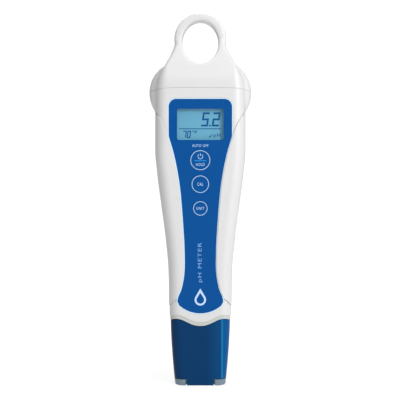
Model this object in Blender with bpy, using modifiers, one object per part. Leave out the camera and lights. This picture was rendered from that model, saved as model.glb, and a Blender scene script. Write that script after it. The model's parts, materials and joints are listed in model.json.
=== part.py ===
"""A pocket pH test pen with a finger loop, a backlit display, three keys and a probe under a storage cap.

Lengths in this file are millimetres, and MM turns them into Blender's metres. The pen stands on its
storage cap: +Z runs up the pen, the display faces -Y, and the origin is the middle of the cap's base.
"""

import math

import bmesh
import bpy
from mathutils import Matrix, Vector

MM = 0.001
TINY = 1e-6

# ---- Driving dimensions ----------------------------------------------------------------------
SEAM_Z = 145.6  # the battery cap meets the housing here
WALL = 1.8  # casing wall
GAP = 0.15  # clearance between pieces that touch in life
SKIN_GAP = 0.1  # clearance along the casing's visible joints
BEYOND = 30.0  # how far a cutter reaches past the object
CORNER_STEPS = 4

# The casing's half width, front and back face as (height, value) stations, from the collar to the loop.
BODY_HALF_WIDTH = [
    (28, 15.25), (40, 15.25), (56, 15.5), (70, 16.65), (88, 18.95), (104, 21.0), (116, 22.0),
    (SEAM_Z, 22.0), (150, 21.2), (153, 19.9), (155.5, 18.5), (157.5, 17.4), (159.2, 16.6),
    (160.5, 15.95), (162, 15.1), (164, 14.15), (166, 13.35), (168, 12.8), (171, 12.2),
]
BODY_FRONT = [
    (SEAM_Z, -10.5), (149, -10.4), (153, -9.8), (157, -8.6),
    (161, -7.0), (165, -5.5), (168, -4.4), (171, -3.5),
]
BODY_BACK = [
    (28, 10.2), (56, 10.5), (88, 12.4), (104, 13.4), (118, 14.0), (SEAM_Z, 14.0),
    (149, 13.8), (153, 12.9), (157, 11.0), (161, 8.8), (165, 6.6), (168, 4.9), (171, 3.7),
]
BODY_RADII = (5.5, 7.0)  # front and back corners
FLAT_HALF = (16.3, 14.8)  # half width of the flat front and back, which the shoulder keeps up to the loop
NECK_ROUND = 1.9  # the corners are never tighter than this
REAR_PROUD = 0.2  # how far the rear shell stands off the casing's surface
FRONT_Y = BODY_FRONT[0][1]

EAR_X, EAR_Z, EAR_R = 8.7, 144.3, 16.7  # each side wing is a disc about this centre
EAR_FRONT, EAR_BACK, EAR_ROUND = -6.0, 9.5, 4.5
LOOP_Z, LOOP_R = 171.0, 12.95
LOOP_FRONT, LOOP_BACK, LOOP_ROUND = -3.6, 3.8, 1.7
HOLE_Z, HOLE_HALF_WIDE, HOLE_HALF_HIGH = 169.2, 9.05, 10.75

# Level sections of inner parts: half width, front, back, front corner radius, back corner radius.
SPIGOT = (18.8, -8.1, 11.3, 4.5, 5.0)
SPIGOT_WALL = 1.3
COLLAR = (14.85, -10.15, 9.95, 4.6, 5.6)
HOLDER = (13.0, -8.4, 8.1, 4.8, 4.8)
CAP_SPIGOT = (11.7, -6.9, 6.9, 3.0, 3.0)

# The wavy joint between the collar and the storage cap.
WAVE_LOW, WAVE_HIGH, WAVE_CREST_X, WAVE_SIDE_X, WAVE_SIDE_DROP = 29.5, 32.95, 11.5, 14.7, 0.7
WAVE_FLATNESS = 1.15  # above 1, the trough is broader than the crests
BAND_HEIGHT = 2.0

# The front label.
LABEL_FACE, LABEL_THICK, RECESS_FLOOR = -10.35, 0.35, -9.85
LABEL_TOP, LABEL_HALF_TOP, LABEL_TOP_R, LABEL_SHOULDER_Z = 140.3, 15.47, 3.8, 122.1
# Its half width as (height, value) stations, from the foot's corner to the shoulder.
LABEL_SIDE = [
    (42.8, 11.0), (44.2, 10.6), (46.9, 9.37), (50.3, 8.52), (55, 7.78), (59.6, 7.56), (69, 7.74),
    (76.4, 8.18), (87.8, 9.0), (97.1, 9.88), (104.9, 11.1), (113.4, 12.88), (LABEL_SHOULDER_Z, 15.44),
]
LABEL_CORNER = (9.15, 41.8, 2.0)  # x, z and radius of the foot's right corner
LABEL_FOOT_R, LABEL_FOOT_Z = 15.5, 51.27  # the rounded foot
LABEL_RIM = 0.45  # the pale border printed round the outline above
STRIP_INSET = 1.0  # the casing's parting line hides this far inside the label's edge
SADDLE_TOP, SADDLE_BOTTOM = 134.4, 38.6  # where the rear shell starts and ends at the sides
# The parting line from the side of the pen down to the label's shoulder, and from its foot out again.
CREASE = [(21.9, 134.2), (20.1, 131.6), (18.0, 128.3), (16.3, 124.6), (15.4, 122.0)]
SADDLE_FOOT = [(9.4, 44.0), (11.5, 42.6), (13.0, 41.5), (14.5, 39.7), (15.4, SADDLE_BOTTOM)]

WINDOW_HALF, WINDOW_LOW, WINDOW_HIGH, WINDOW_CORNER = 11.3, 120.25, 135.35, 0.9
LENS_LAP = 1.2  # how far the lens reaches past the window all round
KEYS = [("power", 110.4, 4.95), ("cal", 98.7, 4.35), ("units", 86.9, 3.6)]  # name, height, radius
KEY_STEM = 0.72  # a key's stem as a share of its radius
KEY_STEM_GAP = 0.2

BOARD_BACK, BOARD_THICK = -2.0, 1.6
BATTERY_Y, BATTERY_R, BATTERY_LOW, BATTERY_HIGH = 4.6, 5.2, 102.0, 145.2
FASTENER_Z = 149.6
FASTENER_SHANK_R = 1.5

# Screws that close the casing from behind: name, x, z, depth of the back wall there.
REAR_SCREWS = [
    ("rear_screw_left", -17.0, 131.6, 13.8),
    ("rear_screw_right", 17.0, 131.6, 13.8),
    ("rear_screw_lower", 0.0, 60.5, 10.9),
]

# The storage cap's half width and half depth as (height, value) stations.
CAP_HALF_WIDTH = [(0.0, 12.4), (3.2, 12.8), (12.5, 13.65), (23.0, 14.35), (31.0, 14.65), (36.0, 14.7)]
CAP_HALF_DEPTH = [(0.0, 8.0), (3.2, 8.25), (12.5, 8.8), (23.0, 9.4), (31.0, 9.8), (36.0, 9.85)]
CAP_CORNER = 4.5
CAP_WALL, CUP_WALL = 1.1, 0.9
FOOT_X, FOOT_Y, FOOT_HIGH = 6.5, 4.0, 3.4
CUP_GAP, FOOT_GAP = 0.2, 0.8  # clearance round the cup, and beside its feet
PROBE_R = 5.0
SPIGOT_LOW = 21.5


# ---- Curves and outlines -----------------------------------------------------------------------
def smooth_through(stations, at):
    """The value at one height of a smooth curve through (height, value) stations, with no overshoot."""
    z = [s[0] for s in stations]
    v = [s[1] for s in stations]
    if at <= z[0]:
        return v[0]
    if at >= z[-1]:
        return v[-1]
    step = [(v[i + 1] - v[i]) / (z[i + 1] - z[i]) for i in range(len(z) - 1)]
    slope = [step[0]] + [0.0] * (len(z) - 2) + [step[-1]]
    for i in range(1, len(z) - 1):
        if step[i - 1] * step[i] > 0:
            slope[i] = 2 * step[i - 1] * step[i] / (step[i - 1] + step[i])
    i = max(k for k in range(len(z) - 1) if z[k] <= at)
    h = z[i + 1] - z[i]
    t = (at - z[i]) / h
    return (
        v[i] * (2 * t**3 - 3 * t**2 + 1)
        + slope[i] * h * (t**3 - 2 * t**2 + t)
        + v[i + 1] * (3 * t**2 - 2 * t**3)
        + slope[i + 1] * h * (t**3 - t**2)
    )


def levels(low, high, spacing):
    """Evenly spaced values from low to high, about `spacing` apart."""
    count = max(1, round(abs(high - low) / spacing))
    return [low + (high - low) * i / count for i in range(count + 1)]


def arc(cx, cz, r, start, end, steps):
    """Points on an arc, angles in degrees from +X towards +Z."""
    turn = [math.radians(start + (end - start) * i / steps) for i in range(steps + 1)]
    return [(cx + r * math.cos(a), cz + r * math.sin(a)) for a in turn]


def mirrored(half):
    """A closed outline from its right half, listed from the top middle to the bottom middle."""
    return half + [(-x, z) for x, z in reversed(half) if x > TINY]


def wave(x):
    """Height of the storage cap's wavy top edge."""
    ax = abs(x)
    if ax <= WAVE_CREST_X:
        turn = math.pi * (ax / WAVE_CREST_X) ** WAVE_FLATNESS
        return WAVE_LOW + (WAVE_HIGH - WAVE_LOW) * 0.5 * (1 - math.cos(turn))
    past = (ax - WAVE_CREST_X) / (WAVE_SIDE_X - WAVE_CREST_X)
    return WAVE_HIGH - WAVE_SIDE_DROP * (1 - math.cos(0.5 * math.pi * min(past, 1.6)))


def label_half_width(z):
    return smooth_through(LABEL_SIDE, z)


def label_outline(grow=0.0):
    """The label's outline, grown outwards by about `grow`."""
    x, z, r = LABEL_CORNER
    half = [(0.0, LABEL_TOP + grow)]
    half += arc(LABEL_HALF_TOP - LABEL_TOP_R, LABEL_TOP - LABEL_TOP_R, LABEL_TOP_R + grow, 90, 0, 4)
    half += [(label_half_width(at) + grow, at) for at in levels(LABEL_SHOULDER_Z, LABEL_SIDE[0][0], 5.6)]
    half += arc(x, z, r + grow, 25, -46, 3)
    half += arc(0, LABEL_FOOT_Z, LABEL_FOOT_R + grow, -48, -90, 4)
    half[-1] = (0.0, LABEL_FOOT_Z - LABEL_FOOT_R - grow)
    return mirrored(half)


def rounded_rectangle(x0, x1, z0, z1, r, steps=4):
    return (
        arc(x1 - r, z1 - r, r, 90, 0, steps)
        + arc(x1 - r, z0 + r, r, 0, -90, steps)
        + arc(x0 + r, z0 + r, r, 270, 180, steps)
        + arc(x0 + r, z1 - r, r, 180, 90, steps)
    )


def window_outline(grow=0.0):
    """The display window's outline, grown outwards by `grow`."""
    low, high = WINDOW_LOW - grow, WINDOW_HIGH + grow
    return rounded_rectangle(-WINDOW_HALF - grow, WINDOW_HALF + grow, low, high, WINDOW_CORNER)


def circle(cx, cz, r, steps=32):
    return arc(cx, cz, r, 0, 360 - 360 / steps, steps - 1)


def ellipse(cz, half_wide, half_high, steps=40):
    return [(half_wide * x, cz + half_high * z) for x, z in circle(0, 0, 1, steps)]


def ring(half_width, front, back, r_front, r_back, z):
    """One level section: a rounded rectangle seen from above, anticlockwise."""
    corners = [
        (half_width - r_back, back - r_back, r_back, 0),
        (-half_width + r_back, back - r_back, r_back, 90),
        (-half_width + r_front, front + r_front, r_front, 180),
        (half_width - r_front, front + r_front, r_front, 270),
    ]
    points = []
    for cx, cy, r, start in corners:
        for i in range(CORNER_STEPS + 1):
            a = math.radians(start + 90 * i / CORNER_STEPS)
            points.append((cx + r * math.cos(a), cy + r * math.sin(a), z))
    return points


def section(shape, z, grow=0.0):
    """A named inner section at one height, with every face moved outwards by `grow`."""
    half, front, back, r_front, r_back = shape
    return ring(half + grow, front - grow, back + grow, r_front + grow, r_back + grow, z)


# ---- Making objects ----------------------------------------------------------------------------
def clear_scene():
    for obj in list(bpy.data.objects):
        bpy.data.objects.remove(obj)


def new_collection(name):
    found = bpy.data.collections.new(name)
    bpy.context.scene.collection.children.link(found)
    return found


def plastic(name, rgb, roughness=0.45, metallic=0.0, alpha=1.0):
    made = bpy.data.materials.new(name)
    made.use_nodes = True
    shader = made.node_tree.nodes["Principled BSDF"]
    shader.inputs["Base Color"].default_value = (*rgb, 1.0)
    shader.inputs["Roughness"].default_value = roughness
    shader.inputs["Metallic"].default_value = metallic
    shader.inputs["Alpha"].default_value = alpha
    return made


def place(name, mesh, material=None):
    """A new object of this mesh: a part if it has a material, and a hidden cutter if not."""
    obj = bpy.data.objects.new(name, mesh)
    if material is None:
        CUTTERS.objects.link(obj)
        obj.hide_render = True
        obj.display_type = "WIRE"
    else:
        PARTS.objects.link(obj)
        obj.data.materials.append(material)
    return obj


def from_bmesh(name, bm, material=None):
    mesh = bpy.data.meshes.new(name)
    bmesh.ops.recalc_face_normals(bm, faces=bm.faces)
    bm.to_mesh(mesh)
    bm.free()
    return place(name, mesh, material)


def loft(name, rings, material=None):
    """A closed solid through level sections that all have the same number of points."""
    bm = bmesh.new()
    rows = [[bm.verts.new(Vector(p) * MM) for p in row] for row in rings]
    count = len(rows[0])
    for low, high in zip(rows, rows[1:]):
        for i in range(count):
            j = (i + 1) % count
            bm.faces.new((low[i], low[j], high[j], high[i]))
    bm.faces.new(list(reversed(rows[0])))
    bm.faces.new(rows[-1])
    return from_bmesh(name, bm, material)


def box(name, x, y, z, material=None):
    """A block between the (low, high) pairs x, y and z."""
    bm = bmesh.new()
    size = Matrix.Diagonal(((x[1] - x[0]) * MM, (y[1] - y[0]) * MM, (z[1] - z[0]) * MM, 1))
    bmesh.ops.create_cube(bm, size=1, matrix=size)
    obj = from_bmesh(name, bm, material)
    obj.location = Vector((x[0] + x[1], y[0] + y[1], z[0] + z[1])) * 0.5 * MM
    return obj


def rod(name, r, start, end, material=None, segments=32):
    """A cylinder between two points."""
    a, b = Vector(start) * MM, Vector(end) * MM
    bm = bmesh.new()
    bmesh.ops.create_cone(
        bm, cap_ends=True, segments=segments, radius1=r * MM, radius2=r * MM, depth=(b - a).length
    )
    obj = from_bmesh(name, bm, material)
    obj.location = (a + b) / 2
    obj.rotation_euler = (b - a).to_track_quat("Z", "Y").to_euler()
    return obj


def turned(name, profile, centre, material=None, closed=False, steps=32, along="Z"):
    """A profile of (radius, height) points turned about an axis through `centre`."""
    mesh = bpy.data.meshes.new(name)
    points = [(r * MM, 0.0, h * MM) for r, h in profile]
    edges = [(i, i + 1) for i in range(len(points) - 1)]
    if closed:
        edges.append((len(points) - 1, 0))
    mesh.from_pydata(points, edges, [])
    obj = place(name, mesh, material)
    obj.location = Vector(centre) * MM
    if along == "Y":
        obj.rotation_euler.x = math.radians(-90)  # the profile's height runs towards +Y
    screw = obj.modifiers.new("turn", "SCREW")
    screw.steps = steps
    screw.render_steps = steps
    screw.use_merge_vertices = True
    screw.merge_threshold = TINY
    return obj


def as_mesh(obj, material=None):
    """Replaces a curve by its mesh, with the caps welded to the sides."""
    bpy.context.view_layer.update()
    seen = obj.evaluated_get(bpy.context.evaluated_depsgraph_get())
    mesh = bpy.data.meshes.new_from_object(seen)
    bm = bmesh.new()
    bm.from_mesh(mesh)
    bmesh.ops.remove_doubles(bm, verts=bm.verts, dist=2e-7)
    bmesh.ops.recalc_face_normals(bm, faces=bm.faces)
    bm.to_mesh(mesh)
    bm.free()
    mesh.materials.clear()
    name, world = obj.name, obj.matrix_world.copy()
    curve = obj.data
    bpy.data.objects.remove(obj)
    bpy.data.curves.remove(curve)
    made = place(name, mesh, material)
    made.matrix_world = world
    return made


def plate(name, outlines, y, material=None, rounding=0.0, rounding_steps=2):
    """A plate facing -Y: outlines in the XZ plane (the first outside, the rest holes) between depths y."""
    curve = bpy.data.curves.new(name, "CURVE")
    curve.dimensions = "2D"
    curve.fill_mode = "BOTH"
    curve.extrude = ((y[1] - y[0]) / 2 - rounding) * MM
    curve.bevel_depth = rounding * MM
    curve.bevel_resolution = rounding_steps
    curve.offset = -rounding * MM
    for outline in outlines:
        spline = curve.splines.new("POLY")
        spline.points.add(len(outline) - 1)
        spline.use_cyclic_u = True
        for point, (x, z) in zip(spline.points, outline):
            point.co = (x * MM, z * MM, 0, 1)
    obj = bpy.data.objects.new(name, curve)
    CUTTERS.objects.link(obj)
    middle = Matrix.Translation((0, (y[0] + y[1]) / 2 * MM, 0))
    obj.matrix_world = middle @ Matrix.Rotation(math.radians(90), 4, "X")
    return as_mesh(obj, material)


def wire(name, points, thickness, material):
    """A round wire through these points."""
    curve = bpy.data.curves.new(name, "CURVE")
    curve.dimensions = "3D"
    curve.bevel_depth = thickness / 2 * MM
    curve.bevel_resolution = 1
    curve.use_fill_caps = True
    spline = curve.splines.new("POLY")
    spline.points.add(len(points) - 1)
    for point, at in zip(spline.points, points):
        point.co = (*(Vector(at) * MM), 1)
    obj = bpy.data.objects.new(name, curve)
    CUTTERS.objects.link(obj)
    return as_mesh(obj, material)


def combine(obj, other, operation):
    step = obj.modifiers.new(other.name, "BOOLEAN")
    step.operation = operation
    step.solver = "EXACT"
    step.object = other
    return obj


def cut(obj, *others):
    for other in others:
        combine(obj, other, "DIFFERENCE")
    return obj


def join(obj, *others):
    for other in others:
        combine(obj, other, "UNION")
    return obj


def keep_inside(obj, other):
    return combine(obj, other, "INTERSECT")


def round_edges(obj, width, segments=2, angle=40):
    bevel = obj.modifiers.new("round edges", "BEVEL")
    bevel.width = width * MM
    bevel.segments = segments
    bevel.limit_method = "ANGLE"
    bevel.angle_limit = math.radians(angle)
    return obj


def shade(obj, angle=35):
    if obj.type == "MESH":
        obj.data.shade_smooth()
        obj.data.set_sharp_from_angle(angle=math.radians(angle))


# ---- Casing shapes -----------------------------------------------------------------------------
def corner_radii(z, half):
    """The front and back corners: full up to the seam, then tighter as the shoulder draws in."""
    if z <= SEAM_Z:
        return BODY_RADII
    return [max(min(r, half - flat), NECK_ROUND) for r, flat in zip(BODY_RADII, FLAT_HALF)]


def body_rings(heights, inset=0.0, grow=0.0):
    """Sections of the casing: `inset` moves every face inwards, `grow` widens all but the front."""
    rings = []
    for z in heights:
        half = smooth_through(BODY_HALF_WIDTH, z)
        front = smooth_through(BODY_FRONT, z) + inset
        back = smooth_through(BODY_BACK, z) + grow - inset
        r_front, r_back = (r - inset for r in corner_radii(z, half))
        rings.append(ring(half + grow - inset, front, back, r_front, r_back, z))
    return rings


def cap_rings(heights, inset=0.0):
    """Sections of the storage cap, with every face moved inwards by `inset`."""
    rings = []
    for z in heights:
        half = smooth_through(CAP_HALF_WIDTH, z) - inset
        deep = smooth_through(CAP_HALF_DEPTH, z) - inset
        rings.append(ring(half, -deep, deep, CAP_CORNER - inset, CAP_CORNER - inset, z))
    return rings


def below_wave(name, offset, low=-5.0):
    """A block that reaches up to the wavy line raised by `offset`."""
    edge = [(x, wave(x) + offset) for x in levels(-19, 19, 1.6)]
    return plate(name, [edge + [(19, low), (-19, low)]], (-BEYOND, BEYOND))


def saddle(name, gap):
    """The part of the pen that the rear shell takes: all of the back, and the sides up to the label."""
    z_high, z_low = SADDLE_TOP + gap, SADDLE_BOTTOM - gap
    edge = [(BEYOND, z_high)] + [(x - gap, z) for x, z in CREASE]
    edge += [(label_half_width(z) - STRIP_INSET - gap, z) for z in levels(118, 46, 7.2)]
    edge += [(x - gap, z - gap) for x, z in SADDLE_FOOT] + [(BEYOND, z_low)]
    right = plate(name + "_right", [edge], (-BEYOND, 1))
    left = plate(name + "_left", [[(-x, z) for x, z in reversed(edge)]], (-BEYOND, 1))
    back = box(name + "_back", (-BEYOND, BEYOND), (-gap, BEYOND), (z_low, z_high))
    return join(right, left, back)


def ears(name, z_low, z_high):
    """The two side wings as one rounded disc-ended slab, kept between two heights."""
    outline = arc(EAR_X, EAR_Z, EAR_R, 90, -90, 14) + arc(-EAR_X, EAR_Z, EAR_R, 270, 90, 14)
    slab = plate(name, [outline], (EAR_FRONT, EAR_BACK), None, EAR_ROUND, 2)
    return keep_inside(slab, box(name + "_span", (-BEYOND, BEYOND), (-BEYOND, BEYOND), (z_low, z_high)))


def across(name, x, z, r, start, end, segments=20):
    """A cutter or a boss that runs front to back through (x, z)."""
    return rod(name, r, (x, start, z), (x, end, z), None, segments)


# ---- Sub-assemblies ----------------------------------------------------------------------------
def build_casing():
    white, pale = MATERIALS["white"], MATERIALS["white_rear"]

    top = SEAM_Z - SKIN_GAP
    housing = loft("housing", body_rings(levels(26, top, 9)), white)
    join(housing, ears("housing_ears", EAR_Z - EAR_R - 1, top))
    cut(housing, loft("housing_room", body_rings(levels(20, 143.6, 14), WALL)))
    join(housing, loft("spigot", [section(SPIGOT, z) for z in (143.0, 151.5)]))
    cut(housing, loft("spigot_room", [section(SPIGOT, z, -SPIGOT_WALL) for z in (142.0, 152.5)]))
    cut(housing, below_wave("collar_edge", BAND_HEIGHT + 2 * GAP))
    cut(housing, saddle("saddle_for_housing", SKIN_GAP))
    for name, x, z, back in REAR_SCREWS:
        join(housing, across(name + "_post", x, z, 2.1, FRONT_Y + WALL - 0.4, back - 6.0))
        cut(housing, across(name + "_pilot", x, z, 0.95, back - 13.0, back, 12))
    groove = loft("seal_groove", [section(SPIGOT, z, 1.7) for z in (146.4, 147.7)])
    cut(groove, loft("seal_groove_core", [section(SPIGOT, z, -0.65) for z in (146.0, 148.0)]))
    cut(housing, groove)
    slot_r = FASTENER_SHANK_R + 0.25
    slot = arc(0, FASTENER_Z, slot_r, 180, 360, 8) + [(slot_r, 153), (-slot_r, 153)]
    cut(housing, plate("fastener_slot", [slot], (9, 12.5)))

    rear = loft("rear_shell", body_rings(levels(36, 138, 9), 0.0, REAR_PROUD), pale)
    cut(rear, loft("rear_room", body_rings(levels(33, 141, 14), WALL)))
    keep_inside(rear, saddle("saddle_for_rear", -SKIN_GAP))
    for name, x, z, back in REAR_SCREWS:
        join(rear, across(name + "_boss", x, z, 2.6, back - 5.85, back - 1.0))
        cut(rear, across(name + "_seat", x, z, 2.1, back - 3.4, back + 6.0))
        cut(rear, across(name + "_hole", x, z, 1.25, back - 7.0, back, 12))
    join(rear, box("tube_rib", (-0.7, 0.7), (10.65, 13.2), (100.0, 131.0)))

    for shell in (housing, rear):
        cut(shell, plate("label_recess", [label_outline(LABEL_RIM + GAP)], (-14, RECESS_FLOOR)))
    cut(housing, plate("lens_pocket", [window_outline(LENS_LAP + GAP)], (-14, -9.05)))
    cut(housing, plate("display_opening", [window_outline()], (-14, -6)))
    for name, z, r in KEYS:
        cut(housing, rod(name + "_key_seat", r + 0.15, (0, -14, z), (0, -9.2, z), None, 32))
        bore_r = r * KEY_STEM + KEY_STEM_GAP
        cut(housing, rod(name + "_key_bore", bore_r, (0, -14, z), (0, -6, z), None, 24))

    screw = [(0, -2.0), (1.85, -2.0), (1.85, -3.3), (0.85, -3.3), (0.85, -11.5), (0, -12.0)]
    for name, x, z, back in REAR_SCREWS:
        made = turned(name, screw, (x, back, z), MATERIALS["steel"], steps=16, along="Y")
        cut(made, box(name + "_slot", (x - 0.25, x + 0.25), (back - 2.6, back + 1), (z - 1.5, z + 1.5)))


def build_battery_cap():
    heights = [SEAM_Z - 1] + [z for z, _ in BODY_HALF_WIDTH if z > SEAM_Z]
    cap = loft("battery_cap", body_rings(heights), MATERIALS["white"])
    join(cap, ears("cap_ears", SEAM_Z - 1, EAR_Z + EAR_R + 1))
    loop = circle(0, LOOP_Z, LOOP_R, 40)
    join(cap, plate("loop_plate", [loop], (LOOP_FRONT, LOOP_BACK), None, LOOP_ROUND, 2))
    cut(cap, plate("loop_hole", [ellipse(HOLE_Z, HOLE_HALF_WIDE, HOLE_HALF_HIGH)], (-BEYOND, BEYOND)))
    room = [(144.0, 1.2), (151.7, 0.5), (154.0, -1.8)]  # height and growth over the spigot
    cut(cap, loft("cap_room", [section(SPIGOT, z, grow) for z, grow in room]))
    join(cap, rod("fastener_boss", 5.4, (0, 11.5, FASTENER_Z), (0, 14.8, FASTENER_Z), None, 32))
    join(cap, box("contact_post", (-3.6, 3.6), (1.6, 7.4), (147.0, 155.0)))
    for side in (-1, 1):
        x = sorted((side * 3.3, side * 4.4))
        join(cap, box(f"nut_guide_{side}", x, (7.9, 9.7), (146.8, 155.0)))
    cut(cap, box("below_seam", (-BEYOND, BEYOND), (-BEYOND, BEYOND), (130, SEAM_Z + SKIN_GAP)))
    cut(cap, rod("fastener_counterbore", 3.8, (0, 12.9, FASTENER_Z), (0, 20, FASTENER_Z), None, 32))
    bore_r = FASTENER_SHANK_R + 0.25
    cut(cap, rod("fastener_bore", bore_r, (0, 10.5, FASTENER_Z), (0, 20, FASTENER_Z), None, 24))

    rings = [section(SPIGOT, z, 0.15) for z in (146.55, 147.55)]
    seal = loft("battery_cap_seal", rings, MATERIALS["rubber"])
    cut(seal, loft("seal_hole", [section(SPIGOT, z, -0.55) for z in (146.0, 148.0)]))

    contact = rounded_rectangle(-3.4, 11.5, 146.45, 146.8, 0.1, 1)
    plate("cap_contact_plate", [contact], (2.0, 7.0), MATERIALS["nickel"])


def build_fastener():
    head = [(0, 15.2), (3.2, 15.2), (3.6, 14.8), (3.6, 14.0)]
    shank = [(FASTENER_SHANK_R, 14.0), (FASTENER_SHANK_R, 8.6), (FASTENER_SHANK_R - 0.4, 8.1), (0, 8.1)]
    centre = (0, 0, FASTENER_Z)
    fastener = turned("locking_fastener", head + shank, centre, MATERIALS["grey"], steps=32, along="Y")
    cut(fastener, box("coin_slot", (-5, 5), (14.5, 17), (FASTENER_Z - 0.6, FASTENER_Z + 0.6)))
    oring = list(reversed(circle(2.7, 13.45, 0.45, 6)))
    turned("fastener_oring", oring, centre, MATERIALS["rubber"], closed=True, steps=20, along="Y")
    span = (FASTENER_Z - 2.6, FASTENER_Z + 2.6)
    nut = box("fastener_nut", (-3.1, 3.1), (8.3, 9.7), span, MATERIALS["brass"])
    cut(nut, rod("nut_thread", FASTENER_SHANK_R + 0.1, (0, 6, FASTENER_Z), (0, 12, FASTENER_Z), None, 24))


def build_front():
    blue = MATERIALS["label_blue"]
    holes = [window_outline()] + [circle(0, z, r + 0.12) for _, z, r in KEYS]
    plate("front_label", [label_outline(LABEL_RIM)] + holes, (LABEL_FACE, LABEL_FACE + LABEL_THICK), blue)
    plate("lcd_window", [window_outline(LENS_LAP)], (-9.95, -9.15), MATERIALS["clear"])
    top = LABEL_FACE - 0.02
    for name, z, r in KEYS:
        stem = r * KEY_STEM
        pip = [(0, -7.35), (1.8, -7.35), (1.8, -8.2)]
        profile = pip + [(stem, -8.2), (stem, RECESS_FLOOR), (r, RECESS_FLOOR), (r, top), (0, top)]
        turned(name + "_key", profile, (0, 0, z), blue, steps=32, along="Y")
    outline = rounded_rectangle(-5.6, 5.6, 82.4, 115.2, 1.5)
    holes = [circle(0, z, r * KEY_STEM + KEY_STEM_GAP, 24) for _, z, r in KEYS]
    plate("key_seal", [outline] + holes, (-8.55, -8.0), MATERIALS["rubber"])


def build_display():
    cell = rounded_rectangle(-13.4, 13.4, 117.6, 137.9, 0.4, 1)
    plate("lcd_cell", [cell], (-8.45, -6.65), MATERIALS["lcd"])
    frame = box("lcd_frame", (-14.7, 14.7), (-8.45, -3.75), (116.3, 139.2), MATERIALS["dark"])
    cut(frame, box("lcd_frame_room", (-13.6, 13.6), (-12, 0), (117.4, 138.1)))
    box("lcd_backlight", (-12.6, 12.6), (-6.4, -4.4), (120.4, 135.2), MATERIALS["diffuser"])
    box("lcd_zebra_upper", (-12.6, 12.6), (-6.45, -3.8), (135.7, 137.6), MATERIALS["rubber"])
    box("lcd_zebra_lower", (-12.6, 12.6), (-6.45, -3.8), (118.0, 119.9), MATERIALS["rubber"])


def build_electronics():
    front = BOARD_BACK - BOARD_THICK
    half = [(0, 141.0), (14.6, 141.0), (14.6, 112.0), (12.4, 96.0), (10.8, 70.0), (10.8, 64.0), (0, 64.0)]
    plate("main_board", [mirrored(half)], (front, BOARD_BACK), MATERIALS["board"])
    for name, z, _ in KEYS:
        body = box(name + "_switch_body", (-3, 3), (-5.7, front - 0.1), (z - 3, z + 3), MATERIALS["dark"])
        cut(body, rod(name + "_switch_well", 1.75, (0, -9, z), (0, -4.6, z), None, 24))
        rod(name + "_switch_button", 1.6, (0, -7.0, z), (0, -5.1, z), MATERIALS["grey"], 24)
    back = BOARD_BACK + 0.1
    box("mcu_chip", (-4.2, 4.2), (back, back + 1.3), (78.0, 86.4), MATERIALS["dark"])
    box("probe_amplifier_chip", (-2.6, 2.6), (back, back + 1.2), (67.0, 71.2), MATERIALS["dark"])
    box("backlight_driver_chip", (6.5, 9.6), (back, back + 1.0), (88.0, 91.6), MATERIALS["dark"])
    can = rounded_rectangle(5.6, 8.8, 76.0, 84.0, 1.55)
    round_edges(plate("crystal_can", [can], (back, back + 1.5), MATERIALS["steel"]), 0.25, 1)


def build_battery():
    tip = BATTERY_HIGH + 1.05
    cell = [(0, tip), (1.9, tip), (1.9, BATTERY_HIGH), (BATTERY_R - 0.4, BATTERY_HIGH)]
    cell += [(BATTERY_R, BATTERY_HIGH - 0.4), (BATTERY_R, BATTERY_LOW + 0.3)]
    cell += [(BATTERY_R - 0.3, BATTERY_LOW), (0, BATTERY_LOW)]
    turned("battery_aaa", cell, (0, BATTERY_Y, 0), MATERIALS["battery"], steps=32)
    tube = [(5.9, 140.0), (5.9, 94.8), (0, 94.8), (0, 96.2), (5.45, 96.2), (5.45, 140.0)]
    sleeve = turned("battery_tube", tube, (0, BATTERY_Y, 0), MATERIALS["grey"], closed=True, steps=32)
    cut(sleeve, box("tab_slot", (-1.8, 1.8), (-4, 1.5), (96.0, 97.3)))
    ends = (0, BATTERY_Y, 96.4), (0, BATTERY_Y, 96.8)
    disc = rod("battery_contact_negative", 4.4, *ends, MATERIALS["nickel"], 24)
    join(disc, box("contact_tab", (-1.5, 1.5), (BOARD_BACK + 0.2, 3.0), (96.4, 96.8)))
    turns, low, high = 3, 97.2, BATTERY_LOW - 0.5
    coil = []
    for share in levels(0, 1, 1 / (10 * turns)):
        a = 2 * math.pi * turns * share
        r = 3.9 - 1.2 * share
        coil.append((r * math.cos(a), BATTERY_Y + r * math.sin(a), low + (high - low) * share))
    wire("battery_spring", coil, 0.6, MATERIALS["steel"])
    box("contact_finger", (7.5, 10.5), (2.6, 3.0), (126.0, 146.25), MATERIALS["nickel"])


def build_probe():
    holder = loft("probe_holder", [section(HOLDER, z) for z in (31.0, 45.5)], MATERIALS["band"])
    band = loft("band", [section(COLLAR, z) for z in (28.0, 37.5)])
    keep_inside(band, below_wave("band_top", BAND_HEIGHT + GAP))
    cut(band, below_wave("band_bottom", GAP))
    join(holder, band)
    join(holder, loft("cap_spigot", [section(CAP_SPIGOT, z) for z in (SPIGOT_LOW, 36.0)]))
    groove = loft("gasket_groove", [section(CAP_SPIGOT, z, 2.5) for z in (23.4, 24.8)])
    cut(groove, loft("gasket_core", [section(CAP_SPIGOT, z, -0.75) for z in (23.0, 25.2)]))
    cut(holder, groove)
    cut(holder, rod("probe_bore", PROBE_R + 0.1, (0, 0, 15), (0, 0, 50), None, 32))

    gasket = loft("cap_gasket", [section(CAP_SPIGOT, z, 0.1) for z in (23.55, 24.65)], MATERIALS["rubber"])
    cut(gasket, loft("gasket_hole", [section(CAP_SPIGOT, z, -0.65) for z in (23.0, 25.2)]))
    seal = loft("holder_seal", [section(HOLDER, z, 0.15) for z in (46.0, 47.2)], MATERIALS["rubber"])
    cut(seal, rod("holder_seal_bore", PROBE_R + 0.1, (0, 0, 40), (0, 0, 50), None, 32))


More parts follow.
